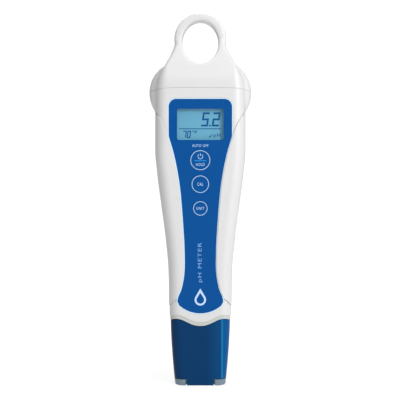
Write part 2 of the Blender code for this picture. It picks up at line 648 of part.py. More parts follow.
def build_electrode():
    tube = [(PROBE_R, 51.5), (PROBE_R, 7.6), (PROBE_R - 0.5, 7.0), (4.1, 7.0), (4.1, 51.5)]
    body = turned("probe_body", tube, (0, 0, 0), MATERIALS["dark"], closed=True, steps=32)
    cut(body, plate("guard_slot", [[(-2.9, 0), (2.9, 0)] + arc(0, 13.0, 2.9, 0, 180, 10)], (-8, 8)))
    inner = [(0, 11.5)] + arc(0, 13.4, 1.95, -60, 60, 4) + [(1.0, 47.0)]
    outer = [(1.4, 47.0)] + arc(0, 13.4, 2.35, 55, -60, 4) + [(0, 11.1)]
    turned("ph_glass_electrode", inner + outer, (0, 0, 0), MATERIALS["clear"], steps=20)
    rod("reference_wire", 0.35, (0, 0, 15.5), (0, 0, 49.0), MATERIALS["nickel"], 10)
    for name, low, high in (("outer_junction", 17.8, 20.2), ("inner_junction", 32.0, 34.0)):
        disc = [(3.95, high), (3.95, low), (1.55, low), (1.55, high)]
        plug = turned(name, disc, (0, 0, 0), MATERIALS["ceramic"], closed=True, steps=24)
        cut(plug, rod(name + "_pin_hole", 0.62, (0, 3.15, 5), (0, 3.15, 40), None, 12))
    rod("temperature_pin", 0.5, (0, 3.15, 8.6), (0, 3.15, 48.5), MATERIALS["steel"], 12)
    top = rod("probe_potting", 4.9, (0, 0, 51.8), (0, 0, 53.0), MATERIALS["dark"], 24)
    join(top, rod("potting_plug", 3.9, (0, 0, 49.4), (0, 0, 52.0), None, 24))
    leads = [
        ("probe_lead_signal", -1.8, -4.0, -3.0, MATERIALS["lead_red"]),
        ("probe_lead_reference", 0.2, 3.4, 3.0, MATERIALS["lead_white"]),
        ("temperature_lead", 2.2, 5.4, 5.0, MATERIALS["dark"]),
    ]
    for name, start, aside, end, paint in leads:
        path = [(start, 0, 53.15), (start, 0, 54.3), (aside, -0.8, 57.5), (aside, -1.3, 62.0)]
        path += [(end, -1.4, 65.0), (end, -1.4, 66.5)]
        wire(name, path, 0.9, paint)


def build_storage_cap():
    corners = [(sx, sy) for sx in (-1, 1) for sy in (-1, 1)]
    cap = loft("storage_cap", cap_rings(levels(0.0, 35.2, 3.2)), MATERIALS["cap_blue"])
    cut(cap, loft("cap_hollow", cap_rings([1.5, 3.2, 12.5, 23.0, 31.0, 38.0], CAP_WALL)))
    keep_inside(cap, below_wave("cap_edge", 0.0))
    for sx, sy in corners:
        x, y = sorted((sx * FOOT_X, sx * 16)), sorted((sy * FOOT_Y, sy * 14))
        cut(cap, box(f"foot_notch_{sx}_{sy}", x, y, (-2, FOOT_HIGH)))

    cup_inset = CAP_WALL + CUP_GAP
    cup = loft("storage_cup", cap_rings([1.75, 3.2, 12.5, 23.0, 27.5], cup_inset), MATERIALS["smoke"])
    for sx, sy in corners:
        block = loft(f"foot_{sx}_{sy}", cap_rings([0.0, 1.6, 3.1]))
        x, y = sorted((sx * (FOOT_X + FOOT_GAP), sx * 16)), sorted((sy * (FOOT_Y + CUP_GAP), sy * 14))
        keep_inside(block, box(f"foot_span_{sx}_{sy}", x, y, (-1, FOOT_HIGH - CUP_GAP)))
        join(cup, block)
    cut(cup, loft("cup_hollow", cap_rings([3.0, 12.5, 23.0, 30.0], cup_inset + CUP_WALL)))


def main():
    build_casing()
    build_battery_cap()
    build_fastener()
    build_front()
    build_display()
    build_electronics()
    build_battery()
    build_probe()
    build_electrode()
    build_storage_cap()
    for obj in PARTS.objects:
        shade(obj)


clear_scene()
PARTS = new_collection("ph_test_pen")
CUTTERS = new_collection("cutters")
MATERIALS = {
    "white": plastic("white", (0.80, 0.80, 0.79), 0.38),
    "white_rear": plastic("white_rear", (0.78, 0.78, 0.77), 0.40),
    "band": plastic("band", (0.62, 0.63, 0.59), 0.5),
    "label_blue": plastic("label_blue", (0.006, 0.09, 0.34), 0.35),
    "cap_blue": plastic("cap_blue", (0.008, 0.06, 0.17), 0.25),
    "smoke": plastic("smoke", (0.30, 0.36, 0.40), 0.2, 0.0, 0.6),
    "clear": plastic("clear", (0.85, 0.90, 0.92), 0.05, 0.0, 0.25),
    "lcd": plastic("lcd", (0.18, 0.42, 0.55), 0.15),
    "diffuser": plastic("diffuser", (0.75, 0.85, 0.90), 0.5),
    "board": plastic("board", (0.02, 0.18, 0.08), 0.4),
    "dark": plastic("dark", (0.02, 0.02, 0.022), 0.4),
    "grey": plastic("grey", (0.35, 0.36, 0.37), 0.4),
    "rubber": plastic("rubber", (0.03, 0.03, 0.03), 0.7),
    "battery": plastic("battery", (0.10, 0.11, 0.12), 0.3, 0.4),
    "nickel": plastic("nickel", (0.60, 0.58, 0.53), 0.3, 1.0),
    "steel": plastic("steel", (0.55, 0.56, 0.57), 0.3, 1.0),
    "brass": plastic("brass", (0.60, 0.42, 0.16), 0.3, 1.0),
    "ceramic": plastic("ceramic", (0.85, 0.84, 0.80), 0.8),
    "lead_red": plastic("lead_red", (0.45, 0.02, 0.02), 0.5),
    "lead_white": plastic("lead_white", (0.75, 0.75, 0.75), 0.5),
}
main()
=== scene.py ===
"""The looks of a pocket pH test pen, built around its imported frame.

Lengths are millimetres until MM turns them into metres. +Z runs up the pen and the display faces -Y.
"""

import json
import math

import bmesh
import bpy
from mathutils import Matrix, Vector
from mathutils.bvhtree import BVHTree


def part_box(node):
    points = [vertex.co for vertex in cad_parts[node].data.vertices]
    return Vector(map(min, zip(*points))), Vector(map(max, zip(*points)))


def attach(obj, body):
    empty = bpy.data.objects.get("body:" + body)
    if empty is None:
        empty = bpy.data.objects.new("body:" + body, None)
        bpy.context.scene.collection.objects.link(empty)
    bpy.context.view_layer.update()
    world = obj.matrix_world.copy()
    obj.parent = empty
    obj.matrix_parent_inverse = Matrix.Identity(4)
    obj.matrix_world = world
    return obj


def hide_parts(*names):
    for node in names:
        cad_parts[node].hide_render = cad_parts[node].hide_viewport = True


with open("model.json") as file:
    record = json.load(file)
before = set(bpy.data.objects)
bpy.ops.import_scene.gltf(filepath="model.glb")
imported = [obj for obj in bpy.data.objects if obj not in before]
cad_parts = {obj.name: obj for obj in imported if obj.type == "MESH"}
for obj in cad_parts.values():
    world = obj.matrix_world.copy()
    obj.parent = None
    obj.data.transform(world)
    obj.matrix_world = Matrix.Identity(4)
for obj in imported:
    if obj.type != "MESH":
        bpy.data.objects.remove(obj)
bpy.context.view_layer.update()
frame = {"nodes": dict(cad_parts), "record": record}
MM = 0.001
TINY = 1e-6
WELD = 2e-7  # metres within which the points of a filled outline are one


def span(node):
    """A CAD node's (low, high) pairs along X, Y and Z, in millimetres."""
    low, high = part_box(node)
    return [(low[i] / MM, high[i] / MM) for i in range(3)]


# ---- Driving dimensions ----------------------------------------------------------------------
WALL = 1.8
HALF_SEAM = 0.05  # half of the gap that shows between two casing parts
BEYOND = 30.0  # how far a cutter reaches past the object
PAST_TOP, GROUND = 200, 0
AHEAD, BEHIND_FRONT_WALL = -14, -6  # depths where a cut through the front wall starts and ends

# The casing's half width, front and back face as (height, value) stations, from the collar to the loop.
SEAM_Z = 145.6
BODY_HALF_WIDTH = [
    (28, 15.25), (40, 15.25), (56, 15.5), (70, 16.65), (88, 18.95), (104, 21.0), (116, 22.0),
    (SEAM_Z, 22.0), (150, 21.2), (153, 19.9), (155.5, 18.5), (157.5, 17.4), (159.2, 16.6),
    (160.5, 15.95), (162, 15.1), (164, 14.15), (166, 13.35), (168, 12.8), (171, 12.2),
]
BODY_FRONT = [
    (SEAM_Z, -10.5), (149, -10.4), (153, -9.8), (157, -8.6), (161, -7.0), (165, -5.5),
    (168, -4.4), (171, -3.6),
]
BODY_BACK = [
    (28, 10.2), (56, 10.5), (88, 12.4), (104, 13.4), (118, 14.0), (SEAM_Z, 14.0),
    (149, 13.8), (153, 12.9), (157, 11.0), (161, 8.8), (165, 6.6), (168, 4.9), (171, 3.8),
]
BODY_RADII = (5.5, 7.0)  # front and back corners
FLAT_HALF = (16.3, 14.8)  # half width of the flat front and back, which the shoulder keeps up to the loop
NECK_ROUND = 1.9  # the corners are never tighter than this
CORNER_STEPS = 10
SEAM_RISE, SEAM_DROP, SEAM_DROP_X = 0.15, 0.6, 22.0  # the seam arches a little across the front
SEAM_DROP_END = 1.1  # the arch levels out this many times SEAM_DROP_X from the middle
VOXEL, MELT_ROUNDS = 0.42, 7
SHARP_ANGLE = 35

# The wings and the finger loop melt into the shoulder.
EAR_X, EAR_Z, EAR_R = 8.7, 144.3, 16.7
EAR_FRONT, EAR_BACK, EAR_ROUND = -6.0, 9.5, 5.0
LOOP_Z, LOOP_R = 171.0, 12.95
LOOP_FRONT, LOOP_BACK, LOOP_ROUND = -3.6, 3.8, 1.3
ROUNDING_STEPS = 5
HOLE_Z, HOLE_HALF_WIDE, HOLE_HALF_HIGH, HOLE_ROUND = 169.2, 9.05, 10.75, 1.1

# The storage cap's wavy top edge dips in the middle, and the pale band shows above it.
WAVE_LOW, WAVE_HIGH, WAVE_CREST_X, WAVE_SIDE_X, WAVE_SIDE_DROP = 29.5, 32.95, 11.5, 14.7, 0.7
WAVE_FLATNESS = 1.15  # above 1, the trough is broader than the crests
WAVE_SIDE_END = 1.6  # the fall past a crest ends at this many times its run to WAVE_SIDE_X
WAVE_SPAN, WAVE_BLOCK_LOW = 19, -5.0
BAND_HEIGHT = 2.0

# The label tapers from the display to a waist, and widens again to a round foot.
LABEL_FACE = span("front_label")[1][0]
LABEL_TOP, LABEL_HALF_TOP, LABEL_TOP_R, LABEL_SHOULDER_Z = 140.3, 15.47, 3.8, 122.1
LABEL_SIDE = [
    (42.8, 11.0), (44.2, 10.6), (46.9, 9.37), (50.3, 8.52), (55, 7.78), (59.6, 7.56), (69, 7.74),
    (76.4, 8.18), (87.8, 9.0), (97.1, 9.88), (104.9, 11.1), (113.4, 12.88), (LABEL_SHOULDER_Z, 15.44),
]
LABEL_FOOT_R, LABEL_FOOT_Z = 15.5, 51.27
LABEL_CORNER = (9.15, 41.8, 2.0)  # centre and radius of the foot's right corner
LABEL_CORNER_TURN, LABEL_FOOT_TURN = (25, -46), (-48, -90)  # degrees that each arc covers
RECESS_FLOOR = -9.85
RIM_WIDTH = 0.45  # the pale border, outside the blue
PRINT, PRINT_ROOT = 0.04, 0.1  # how far printing stands off its surface, and reaches into it
LETTER_SPACING = 1.15

# The rear shell wraps round the sides up to the label, and its front edge shows as a crease.
CREASE = [
    (21.9, 134.2), (20.1, 131.6), (18.9, 130.0), (18.0, 128.3), (17.1, 126.5), (16.3, 124.6), (15.4, 122.0),
]
STRIP_INSET, STRIP_TOP, STRIP_BOTTOM = 1.0, 118, 46  # beside the label, the edge hides under its border
SADDLE_TOP, SADDLE_BOTTOM = 134.4, 38.6
SADDLE_FOOT = [(9.4, 44.0), (11.5, 42.6), (13.0, 41.5), (14.5, 39.7), (15.4, SADDLE_BOTTOM)]
SADDLE_OVERLAP = 1  # the side blocks run this far into the back block
REAR_PROUD, REAR_BEVEL = 0.3, 0.4
SCREW_GAP, SCREW_HOLE_R, SCREW_HEAD_SINK = 0.25, 1.25, 1.4
SCREW_BOSS_WALL, SCREW_BOSS_DEPTH, SCREW_BOSS_PROUD = 0.8, 3.9, 1.0
SCREW_SEAT_REACH = 8  # how far the seat's cutter reaches out from the head

FORM_LOW, FORM_TOP = 22, 172
ROOM_LOW, ROOM_TOP, REAR_ROOM_LOW, REAR_ROOM_TOP = 15, 143.6, 30, 140

# Level sections are (half width, front, back, front corner radius, back corner radius).
SPIGOT = (18.8, -8.1, 11.3, 4.5, 5.0)
SPIGOT_TOP = (18.5, -7.8, 11.0, 4.3, 4.8)
SPIGOT_CORE = (18.1, -7.4, 10.6, 4.0, 4.4)
SPIGOT_ROOM = (17.5, -6.8, 10.0, 3.4, 3.9)
SPIGOT_Z, SPIGOT_CORE_Z, SPIGOT_ROOM_Z = (143.0, 146.5), (144.0, 151.0), (142.0, 152.5)
SPIGOT_LIP_Z, SPIGOT_TOP_Z = (147.6, 151.2), 151.5  # the seal sits in the groove below the lip
FASTENER_Z, FASTENER_HOLE_R, FASTENER_SLOT_TOP = 149.6, 1.75, 153.0
FASTENER_SLOT_Y, FASTENER_BORE_Y = (9, 12.5), (10, 20)
FASTENER_BOSS_R, FASTENER_BOSS_FLOOR, FASTENER_BOSS_CHAMFER = 5.4, 11.5, 0.5
COUNTERBORE_R, COUNTERBORE_Y = 3.8, (12.9, 20)
BELOW_BOSS_X, BELOW_BOSS_Y, BELOW_BOSS_LOW = (-9, 9), (5, 20), 140  # keeps the boss above the seam
BATTERY_CAP_ROOM = [  # sections, each with its height
    (20.0, -8.7, 12.0, 4.6, 5.2, 144.0),
    (19.4, -8.5, 11.8, 4.4, 5.0, 151.7),
    (17.0, -7.4, 10.6, 3.8, 4.4, 154.0),
]

WINDOW_HALF, WINDOW_LOW, WINDOW_HIGH, WINDOW_CORNER = 11.3, 120.25, 135.35, 0.9
LENS_LAP, LENS_CORNER = 1.2, 1.1  # how far the lens reaches past the window
POCKET_LAP, POCKET_CORNER, POCKET_FLOOR = 1.4, 1.2, -9.05

KEYS = [("power", 110.4, 4.95), ("cal", 98.7, 4.35), ("units", 86.9, 3.6)]  # name, height and radius
KEY_GAP, KEY_EDGE = 0.12, 0.12
KEY_SEAT_GAP, KEY_SEAT_FLOOR = 0.15, -9.2
KEY_STEM_SHARE, KEY_STEM_END, KEY_STEM_GAP = 0.72, -8.2, 0.2  # the stem's radius is a share of the key's
KEY_PLUNGER_R = 1.8
RING_INSET, RING_STROKE = 0.14, 0.3
POWER_SIGN_Z, POWER_SIGN_R, POWER_SIGN_INNER_R = 112.2, 1.3, 1.03
POWER_SIGN_GAP = 38  # degrees each side of the top, where the power sign's ring is open
POWER_SIGN_BAR = (-0.14, 0.14, 112.4, 113.8, 0.12)
POWER_LINE = (-2.85, 2.85, 109.9, 110.45, 0.1)
DROP_OUTSIDE, DROP_INSIDE = (39.6, 47.9, 5.6), (40.5, 45.8, 3.7)  # low point, high point and width

CAP_HALF_WIDTH = [(0.0, 12.4), (3.2, 12.8), (12.5, 13.65), (23.0, 14.35), (31.0, 14.65), (36.0, 14.7)]
CAP_HALF_DEPTH = [(0.0, 8.0), (3.2, 8.25), (12.5, 8.8), (23.0, 9.4), (31.0, 9.8), (36.0, 9.85)]
CAP_CORNER, CAP_CORNER_LEAST, CAP_FOOT_ROUND = 4.5, 0.6, 0.5
CAP_WALL, CUP_WALL = 1.1, 0.9
CAP_TOP, CAP_FLOOR, CAP_HOLLOW_TOP = 36, 1.5, 38  # the wave then cuts the cap's top
CUP_BASE, CUP_TOP, CUP_FLOOR, CUP_HOLLOW_TOP = 1.75, 27.5, 3, 30
FOOT_X, FOOT_Y, FOOT_HIGH, FOOT_BLOCK_TOP = 6.5, 4.0, 3.4, 3.1
FOOT_REACH_X, FOOT_REACH_Y, FOOT_LOW = 16, 14, -2  # the foot blocks reach past the cap's corners
CUP_GAP, FOOT_GAP = 0.2, 0.8  # clearance round the cup, and beside its feet
FOOT_WEB = 6.3  # the gap beside a foot ends this far from the middle, front and back
FOOT_WEB_LAP, FOOT_WEB_LOW = 2, 0.1

NECK = (14.85, -10.15, 9.95, 4.6, 5.6)
NECK_LOW, NECK_TOP = 28, 37.5
NECK_BLOCK = (13.0, -8.4, 8.1, 4.8, 4.8)
NECK_BLOCK_Z = (31.0, 45.5)
BAND_LAP = 0.15  # how far the band is raised above its line, clear of the storage cap
CAP_SPIGOT = (11.7, -6.9, 6.9, 3.0, 3.0)
CAP_SPIGOT_TAPER = [(21.5, 0.5), (22.0, 0.0), (36.0, 0.0)]  # (height, inset)
GASKET_GROOVE, GASKET_GROOVE_Z = (14.0, -9.5, 9.5, 4.0, 4.0), (23.4, 24.8)
GASKET_CORE, GASKET_CORE_Z = (10.95, -6.15, 6.15, 2.4, 2.4), (23.0, 25.2)
PROBE_BORE_R, PROBE_BORE_LOW, PROBE_BORE_HIGH = 5.1, 10, 60

# The room and its lamps are in metres, degrees and watts.
AIM = (0, 0, 0.09)
CAMERA_AT, SENSOR_WIDTH, FOCAL_LENGTH = (-0.00016, -0.4, 0.091), 36, 72
ROOM_LIGHT, BACKDROP_LIGHT = 0.24, 1.1
# Within GLOW_END of the pen the floor's glow is dimmed, a painted shade round where it stands.
FLOOR_SIZE, GLOW_START, GLOW_END = 4.0, 0.03, 0.3
FLOOR_GLOW_NEAR, FLOOR_GLOW_FAR, FLOOR_SHADE, FLOOR_BOUNCE = 0.8, 1.1, 0.25, 0.58
LAMPS = [  # name, degrees right of the camera, degrees up, distance, size and power
    ("key_light", 42, 22, 0.95, (0.35, 0.5), 5.2),
    ("top_light", 0, 80, 0.95, (0.6, 0.6), 3.2),
    ("front_light", 0, 36, 0.95, (0.6, 0.3), 1.0),
    ("strip_light", 28, 0, 0.8, (0.1, 0.5), 0.15),
    ("back_light", 190, 40, 0.95, (0.5, 0.5), 3.5),
]


# ---- Curves and outlines -----------------------------------------------------------------------
def smooth_through(stations, at):
    """The value at one height of a smooth curve through (height, value) stations, with no overshoot."""
    z = [s[0] for s in stations]
    v = [s[1] for s in stations]
    if at <= z[0]:
        return v[0]
    if at >= z[-1]:
        return v[-1]
    step = [(v[i + 1] - v[i]) / (z[i + 1] - z[i]) for i in range(len(z) - 1)]
    slope = [step[0]] + [0.0] * (len(z) - 2) + [step[-1]]
    for i in range(1, len(z) - 1):
        if step[i - 1] * step[i] > 0:
            slope[i] = 2 * step[i - 1] * step[i] / (step[i - 1] + step[i])
    i = max(k for k in range(len(z) - 1) if z[k] <= at)
    h = z[i + 1] - z[i]
    t = (at - z[i]) / h
    return (
        v[i] * (2 * t**3 - 3 * t**2 + 1)
        + slope[i] * h * (t**3 - 2 * t**2 + t)
        + v[i + 1] * (3 * t**2 - 2 * t**3)
        + slope[i + 1] * h * (t**3 - t**2)
    )


def levels(low, high, spacing):
    """Evenly spaced values from low to high, about `spacing` apart."""
    count = max(1, round(abs(high - low) / spacing))
    return [low + (high - low) * i / count for i in range(count + 1)]


def arc(cx, cz, r, start, end, steps):
    """Points on an arc, angles in degrees from +X towards +Z."""
    turn = [math.radians(start + (end - start) * i / steps) for i in range(steps + 1)]
    return [(cx + r * math.cos(a), cz + r * math.sin(a)) for a in turn]


def mirrored(half):
    """A closed outline from its right half, listed from the top middle to the bottom middle."""
    return half + [(-x, z) for x, z in reversed(half) if x > TINY]


def circle(cx, cz, r, steps=64):
    return arc(cx, cz, r, 0, 360 - 360 / steps, steps - 1)


def rounded_rectangle(x0, x1, z0, z1, r, steps=8):
    """An outline from its sides' places, clockwise from the top right corner."""
    return (
        arc(x1 - r, z1 - r, r, 90, 0, steps)
        + arc(x1 - r, z0 + r, r, 0, -90, steps)
        + arc(x0 + r, z0 + r, r, 270, 180, steps)
        + arc(x0 + r, z1 - r, r, 180, 90, steps)
    )


def wave(x):
    """Height of the storage cap's wavy top edge."""
    ax = abs(x)
    if ax <= WAVE_CREST_X:
        turn = math.pi * (ax / WAVE_CREST_X) ** WAVE_FLATNESS
        return WAVE_LOW + (WAVE_HIGH - WAVE_LOW) * 0.5 * (1 - math.cos(turn))
    past = (ax - WAVE_CREST_X) / (WAVE_SIDE_X - WAVE_CREST_X)
    return WAVE_HIGH - WAVE_SIDE_DROP * (1 - math.cos(0.5 * math.pi * min(past, WAVE_SIDE_END)))


def label_half_width(z):
    return smooth_through(LABEL_SIDE, z)


def window_outline(grow, corner):
    """The display window's outline, grown outwards by `grow`."""
    half = WINDOW_HALF + grow
    return rounded_rectangle(-half, half, WINDOW_LOW - grow, WINDOW_HIGH + grow, corner)


def label_outline(grow=0.0):
    """The label's outline, grown outwards by about `grow`."""
    x, z, r = LABEL_CORNER
    half = [(0.0, LABEL_TOP + grow)]
    half += arc(LABEL_HALF_TOP - LABEL_TOP_R, LABEL_TOP - LABEL_TOP_R, LABEL_TOP_R + grow, 90, 0, 12)
    half += [(label_half_width(at) + grow, at) for at in levels(LABEL_SHOULDER_Z, LABEL_SIDE[0][0], 1.2)]
    half += arc(x, z, r + grow, *LABEL_CORNER_TURN, 10)
    half += arc(0, LABEL_FOOT_Z, LABEL_FOOT_R + grow, *LABEL_FOOT_TURN, 20)
    half[-1] = (0.0, LABEL_FOOT_Z - LABEL_FOOT_R - grow)
    return mirrored(half)


def ring(half_width, front, back, r_front, r_back, z):
    """One level section: a rounded rectangle seen from above, anticlockwise."""
    corners = [
        (half_width - r_back, back - r_back, r_back, 0),
        (-half_width + r_back, back - r_back, r_back, 90),
        (-half_width + r_front, front + r_front, r_front, 180),
        (half_width - r_front, front + r_front, r_front, 270),
    ]
    points = []
    for cx, cy, r, start in corners:
        points += [(x, y, z) for x, y in arc(cx, cy, r, start, start + 90, CORNER_STEPS)]
    return points


def disc(r, low, high):
    """A solid cylinder's profile for `turned`."""
    return [(0, low), (r, low), (r, high), (0, high)]


# ---- Making meshes -----------------------------------------------------------------------------
def link(obj):
    bpy.context.scene.collection.objects.link(obj)
    return obj


def from_bmesh(name, bm):
    mesh = bpy.data.meshes.new(name)
    bmesh.ops.recalc_face_normals(bm, faces=bm.faces)
    bm.to_mesh(mesh)
    bm.free()
    return link(bpy.data.objects.new(name, mesh))


def loft(name, rings):
    """A closed solid through level sections that all have the same number of points."""
    bm = bmesh.new()
    rows = [[bm.verts.new(Vector(p) * MM) for p in row] for row in rings]
    count = len(rows[0])
    for low, high in zip(rows, rows[1:]):
        for i in range(count):
            j = (i + 1) % count
            bm.faces.new((low[i], low[j], high[j], high[i]))
    bm.faces.new(list(reversed(rows[0])))
    bm.faces.new(rows[-1])
    return from_bmesh(name, bm)


def prism(name, section, heights):
    """A solid with the same level section at every height."""
    return loft(name, [ring(*section, z) for z in heights])


def box(name, x, y, z):
    """A block between the (low, high) pairs along X, Y and Z."""
    bm = bmesh.new()
    size = Matrix.Diagonal(((x[1] - x[0]) * MM, (y[1] - y[0]) * MM, (z[1] - z[0]) * MM, 1))
    middle = Vector((x[0] + x[1], y[0] + y[1], z[0] + z[1])) * 0.5 * MM
    bmesh.ops.create_cube(bm, size=1, matrix=Matrix.Translation(middle) @ size)
    return from_bmesh(name, bm)


def turned(name, profile, centre, steps=64):
    """A profile of (radius, depth) points turned about an axis through `centre` that runs along +Y."""
    bm = bmesh.new()
    cx, cy, cz = centre
    rows = []
    for r, y in profile:
        around = circle(0, 0, r, steps) if r >= TINY else [(0, 0)]
        rows.append([bm.verts.new(Vector((cx + x, cy + y, cz + z)) * MM) for x, z in around])
    for low, high in zip(rows, rows[1:]):
        for i in range(steps):
            j = (i + 1) % steps
            corners = [low[i % len(low)], low[j % len(low)], high[j % len(high)], high[i % len(high)]]
            bm.faces.new(list(dict.fromkeys(corners)))
    return from_bmesh(name, bm)


def evaluated(obj):
    """The object's mesh with its modifiers and curve settings applied."""
    bpy.context.view_layer.update()
    seen = obj.evaluated_get(bpy.context.evaluated_depsgraph_get())
    return bpy.data.meshes.new_from_object(seen)


def settle(obj):
    """Applies the object's modifiers."""
    mesh = evaluated(obj)
    obj.modifiers.clear()
    obj.data = mesh
    return obj


def as_mesh(obj):
    """Replaces a curve or a text by its welded mesh, in world space."""
    mesh = evaluated(obj)
    mesh.transform(obj.matrix_world)
    bm = bmesh.new()
    bm.from_mesh(mesh)
    bmesh.ops.remove_doubles(bm, verts=bm.verts, dist=WELD)
    bmesh.ops.recalc_face_normals(bm, faces=bm.faces)
    bm.to_mesh(mesh)
    bm.free()
    mesh.materials.clear()
    name = obj.name
    bpy.data.objects.remove(obj)
    return link(bpy.data.objects.new(name, mesh))


def facing_front(y):
    """Stands a drawing in the XY plane up in the XZ plane, facing -Y, at depth y."""
    return Matrix.Translation((0, y * MM, 0)) @ Matrix.Rotation(math.radians(90), 4, "X")


def plate(name, outlines, y, rounding=0.0):
    """A plate facing -Y: outlines in the XZ plane (outsides and holes) between the two depths y."""
    curve = bpy.data.curves.new(name, "CURVE")
    curve.dimensions = "2D"
    curve.fill_mode = "BOTH"
    curve.extrude = ((y[1] - y[0]) / 2 - rounding) * MM
    curve.bevel_depth = rounding * MM
    curve.bevel_resolution = ROUNDING_STEPS
    curve.offset = -rounding * MM
    for outline in outlines:
        spline = curve.splines.new("POLY")
        spline.points.add(len(outline) - 1)
        spline.use_cyclic_u = True
        for point, (x, z) in zip(spline.points, outline):
            point.co = (x * MM, z * MM, 0, 1)
    obj = link(bpy.data.objects.new(name, curve))
    obj.matrix_world = facing_front((y[0] + y[1]) / 2)
    return as_mesh(obj)


def boolean(obj, other, operation):
    """Changes obj by the other object, which it uses up."""
    step = obj.modifiers.new(operation, "BOOLEAN")
    step.operation = operation
    step.solver = "MANIFOLD"
    step.object = other
    settle(obj)
    bpy.data.objects.remove(other)
    return obj


def cut(obj, other):
    boolean(obj, other, "DIFFERENCE")


def join(obj, other):
    return boolean(obj, other, "UNION")


def keep_inside(obj, other):
    boolean(obj, other, "INTERSECT")


def duplicate(obj, name):
    return link(bpy.data.objects.new(name, obj.data.copy()))


def melt(obj):
    """Remeshes the object and smooths it, so that its joins flow into each other."""
    remesh = obj.modifiers.new("remesh", "REMESH")
    remesh.mode = "VOXEL"
    remesh.voxel_size = VOXEL * MM
    smooth = obj.modifiers.new("smooth", "SMOOTH")
    smooth.factor = 0.5
    smooth.iterations = MELT_ROUNDS
    return settle(obj)


def swell(obj, distance):
    """Moves every face outwards."""
    step = obj.modifiers.new("swell", "DISPLACE")
    step.strength = distance * MM
    step.mid_level = 0
    return settle(obj)


def dress(obj, body, material, replaced=()):
    """Finishes a piece: smooth shading, its material, the body it rides on and the nodes it stands for."""
    obj.data.shade_smooth()
    obj.data.set_sharp_from_angle(angle=math.radians(SHARP_ANGLE))
    obj.data.materials.clear()
    obj.data.materials.append(material)
    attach(obj, body)
    if replaced:
        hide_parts(*replaced)


# ---- Materials ---------------------------------------------------------------------------------
def srgb(red, green, blue):
    """A linear colour from display values of 0 to 255."""
    def linear(c):
        c /= 255
        return c / 12.92 if c <= 0.04045 else ((c + 0.055) / 1.055) ** 2.4

    return (linear(red), linear(green), linear(blue), 1.0)


NOISE_LOW, NOISE_HIGH = 0.3, 0.7


class Finish:
    """A node material that starts from one Principled BSDF."""

    def __init__(self, name):
        self.material = bpy.data.materials.new(name)
        self.material.use_nodes = True
        self.nodes = self.material.node_tree.nodes
        self.links = self.material.node_tree.links
        self.shader = self.nodes["Principled BSDF"]
        self.place = self.nodes.new("ShaderNodeTexCoord").outputs["Object"]

    def set(self, **values):
        """Sets the shader's own sockets, with _ for each space in a socket's name."""
        for socket, value in values.items():
            self.shader.inputs[socket.replace("_", " ")].default_value = value

    def noise(self, size, detail, stretch=None):
        """Noise whose blobs are about `size` millimetres across."""
        node = self.nodes.new("ShaderNodeTexNoise")
        node.inputs["Scale"].default_value = 1 / (size * MM)
        node.inputs["Detail"].default_value = detail
        place = self.place
        if stretch:
            mapping = self.nodes.new("ShaderNodeMapping")
            mapping.inputs["Scale"].default_value = stretch
            self.links.new(place, mapping.inputs["Vector"])
            place = mapping.outputs["Vector"]
        self.links.new(place, node.inputs["Vector"])
        return node.outputs["Fac"]

    def colour(self, share, first, second):
        """Blends the base colour between two by `share`."""
        mix = self.nodes.new("ShaderNodeMix")
        mix.data_type = "RGBA"
        mix.inputs["A"].default_value = first
        mix.inputs["B"].default_value = second
        self.links.new(share, mix.inputs["Factor"])
        self.links.new(mix.outputs["Result"], self.shader.inputs["Base Color"])

    def roughness(self, share, low, high):
        """Varies the roughness by noise, which stays mostly between NOISE_LOW and NOISE_HIGH."""
        node = self.nodes.new("ShaderNodeMapRange")
        node.inputs["From Min"].default_value = NOISE_LOW
        node.inputs["From Max"].default_value = NOISE_HIGH
        node.inputs["To Min"].default_value = low
        node.inputs["To Max"].default_value = high
        self.links.new(share, node.inputs["Value"])
        self.links.new(node.outputs["Result"], self.shader.inputs["Roughness"])

    def bump(self, height, depth):
        """Bumps `depth` millimetres deep."""
        node = self.nodes.new("ShaderNodeBump")
        node.inputs["Distance"].default_value = depth * MM
        self.links.new(height, node.inputs["Height"])
        self.links.new(node.outputs["Normal"], self.shader.inputs["Normal"])


def shaded(colour, share):
    """A colour made darker or lighter."""
    return (colour[0] * share, colour[1] * share, colour[2] * share, 1.0)


def moulded(name, colour, roughness=0.4, grain=0.22, depth=0.006, **values):
    """Injection-moulded plastic: spark-eroded grain, slight flow marks in gloss and tint."""
    made = Finish(name)
    made.set(**values)
    made.colour(made.noise(14, 3), shaded(colour, 0.975), shaded(colour, 1.02))
    made.roughness(made.noise(5, 4), roughness - 0.04, roughness + 0.05)
    made.bump(made.noise(grain, 3), depth)
    return made.material


def metal(name, colour):
    """Drawn or plated metal with fine scratches along Z."""
    made = Finish(name)
    made.set(Metallic=1.0)
    made.colour(made.noise(3, 4), shaded(colour, 0.88), colour)
    scratches = made.noise(0.3, 4, stretch=(1.0, 1.0, 0.12))
    made.roughness(scratches, 0.2, 0.4)
    made.bump(scratches, 0.004)
    return made.material


def see_through(name, tint, cover):
    """Clear plastic or glass: `cover` is the share of what lies behind that it hides."""
    made = Finish(name)
    made.set(Roughness=0.03, Coat_Weight=0.2, Alpha=cover)
    made.colour(made.noise(20, 2), tint, shaded(tint, 0.95))
    made.bump(made.noise(6, 2), 0.003)
    return made.material


